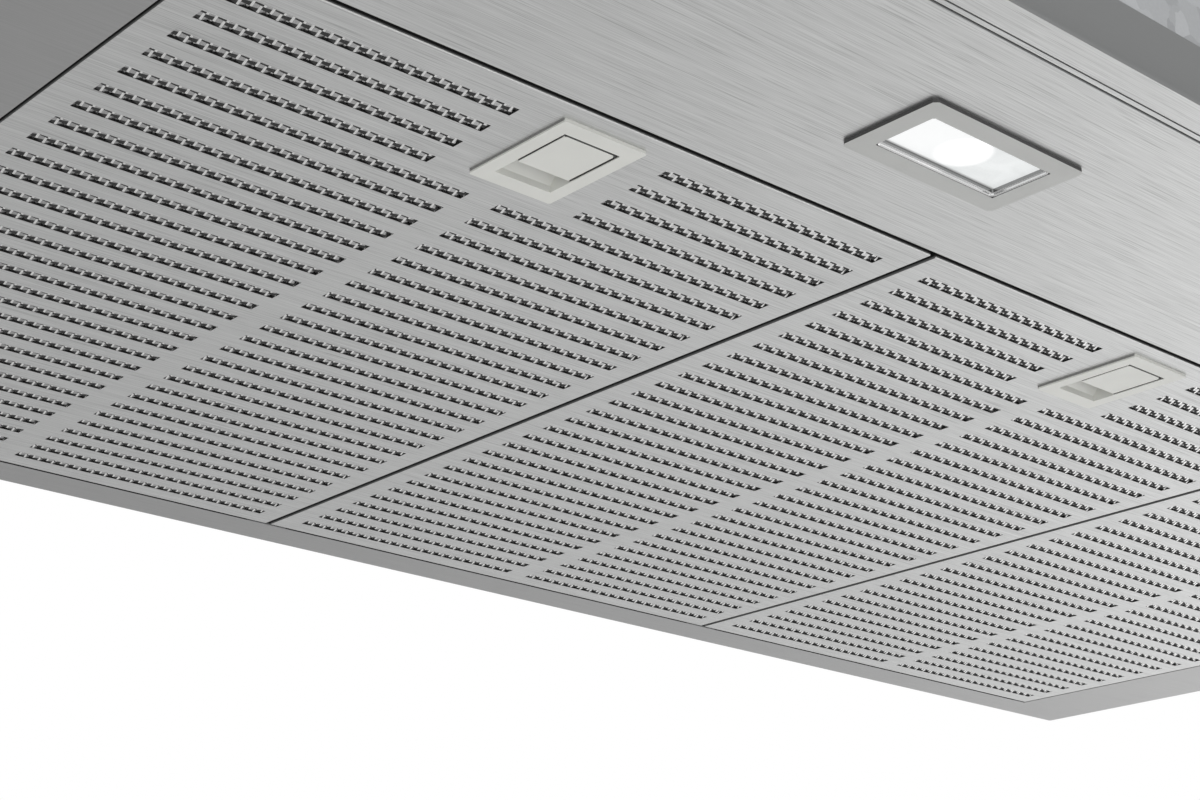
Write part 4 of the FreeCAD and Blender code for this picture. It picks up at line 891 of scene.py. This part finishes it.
class HOOD_OT_stage(bpy.types.Operator):
    """Set the floor, the lamps and the camera"""

    bl_idname = "hood.stage"
    bl_label = "Studio"

    def execute(self, context):
        look = context.scene.hood_studio
        scene = context.scene
        floor = self.floor(look)
        self.world(look)
        self.lamp("key", (3.9, -0.3, 0.3), (3.8, 0.2, look.floor_z), 1.8, look.key)
        self.lamp("side", (2.9, 0.2, -1.0), (0.3, -0.1, -0.29), 1.2, look.side)
        self.lamp("fill", (-0.9, -1.2, -1.1), (0.0, 0.0, -0.29), 1.2, look.fill)
        self.camera(look)
        scene.view_settings.view_transform = "Standard"
        return {"FINISHED"}

    def floor(self, look):
        """A wide pale floor below the hood."""
        mesh = bpy.data.meshes.new("floor")
        reach = 9.0
        corners = [(-reach, -reach), (reach, -reach), (reach, reach), (-reach, reach)]
        mesh.from_pydata([(x, y, look.floor_z) for x, y in corners], [], [(0, 1, 2, 3)])
        floor = bpy.data.objects.new("floor", mesh)
        bpy.context.scene.collection.objects.link(floor)
        material, tree, shader, place = new_material("pale floor")
        patches = place_group(tree, "Smudges", {"Vector": place, "Scale": 0.6})["Patches"]
        low = tuple(value * 0.98 for value in look.floor)
        tree.links.new(mixed(tree, patches, low, look.floor), shader.inputs["Base Color"])
        shader.inputs["Roughness"].default_value = 0.8
        mesh.materials.append(material)
        return floor

    def world(self, look):
        """An even grey light that cameras and reflections see as white."""
        world = bpy.data.worlds.new("studio")
        world.use_nodes = True
        bpy.context.scene.world = world
        tree = world.node_tree
        ground = tree.nodes["Background"]
        ground.inputs["Color"].default_value = (1.0, 1.0, 1.0, 1.0)
        rays = tree.nodes.new("ShaderNodeLightPath").outputs
        seen = maths(tree, "MAXIMUM", rays["Is Camera Ray"], rays["Is Glossy Ray"])
        seen = maths(tree, "MAXIMUM", seen, rays["Is Transmission Ray"])
        tree.links.new(spread(tree, seen, (0.0, look.world), (1.0, 1.0)), ground.inputs["Strength"])

    def lamp(self, name, place, target, size, watts):
        """A square area lamp that faces a target."""
        light = bpy.data.lights.new(name, "AREA")
        light.shape = "SQUARE"
        light.size = size
        light.energy = watts
        lamp = bpy.data.objects.new(name, light)
        aim = (Vector(target) - Vector(place)).to_track_quat("-Z", "Y")
        lamp.matrix_world = Matrix.Translation(Vector(place)) @ aim.to_matrix().to_4x4()
        bpy.context.scene.collection.objects.link(lamp)

    def camera(self, look):
        """The camera below the hood's front left corner, looking up and across."""
        data = bpy.data.cameras.new("camera")
        data.lens = look.lens
        data.sensor_width = 36.0
        data.clip_start = 0.01
        camera = bpy.data.objects.new("camera", data)
        right = Vector((0.74842, -0.66322, 0.0004))
        up = Vector((-0.23365, -0.26311, 0.93605))
        back = -Vector((0.62070, 0.70065, 0.35188))
        turn = Matrix((right, up, back)).transposed().to_4x4()
        camera.matrix_world = Matrix.Translation(Vector(look.eye)) @ turn
        bpy.context.scene.collection.objects.link(camera)
        bpy.context.scene.camera = camera


class HOOD_PT_panel(bpy.types.Panel):
    """Lists the hood's pieces and their settings"""

    bl_idname = "HOOD_PT_panel"
    bl_label = "Range Hood"
    bl_space_type = "VIEW_3D"
    bl_region_type = "UI"
    bl_category = "Range Hood"

    def draw(self, context):
        for operator in OPERATORS:
            self.layout.operator(operator.bl_idname)
        for name in SETTINGS:
            box = self.layout.box()
            settings = getattr(context.scene, name)
            for key in settings.__annotations__:
                box.prop(settings, key)


SETTINGS = {
    "hood_steel": SteelFinish,
    "hood_mesh": StrandMesh,
    "hood_moulded": MouldedParts,
    "hood_lamps": LampLook,
    "hood_sheet": HiddenSheet,
    "hood_studio": Studio,
}

OPERATORS = (
    HOOD_OT_stage,
    HOOD_OT_steel,
    HOOD_OT_mesh,
    HOOD_OT_latches,
    HOOD_OT_lamps,
    HOOD_OT_controls,
    HOOD_OT_housing,
    HOOD_OT_blower,
    HOOD_OT_supply,
)


def register():
    for group in SETTINGS.values():
        bpy.utils.register_class(group)
    for operator in OPERATORS:
        bpy.utils.register_class(operator)
    bpy.utils.register_class(HOOD_PT_panel)
    for name, group in SETTINGS.items():
        setattr(bpy.types.Scene, name, PointerProperty(type=group))


def unregister():
    for name in SETTINGS:
        delattr(bpy.types.Scene, name)
    bpy.utils.unregister_class(HOOD_PT_panel)
    for operator in reversed(OPERATORS):
        bpy.utils.unregister_class(operator)
    for group in SETTINGS.values():
        bpy.utils.unregister_class(group)


def main():
    register()
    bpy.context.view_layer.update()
    bpy.ops.hood.stage()
    bpy.ops.hood.steel()
    bpy.ops.hood.mesh()
    bpy.ops.hood.latches()
    bpy.ops.hood.lamps()
    bpy.ops.hood.controls()
    bpy.ops.hood.housing()
    bpy.ops.hood.blower()
    bpy.ops.hood.supply()


if __name__ == "__main__":
    main()
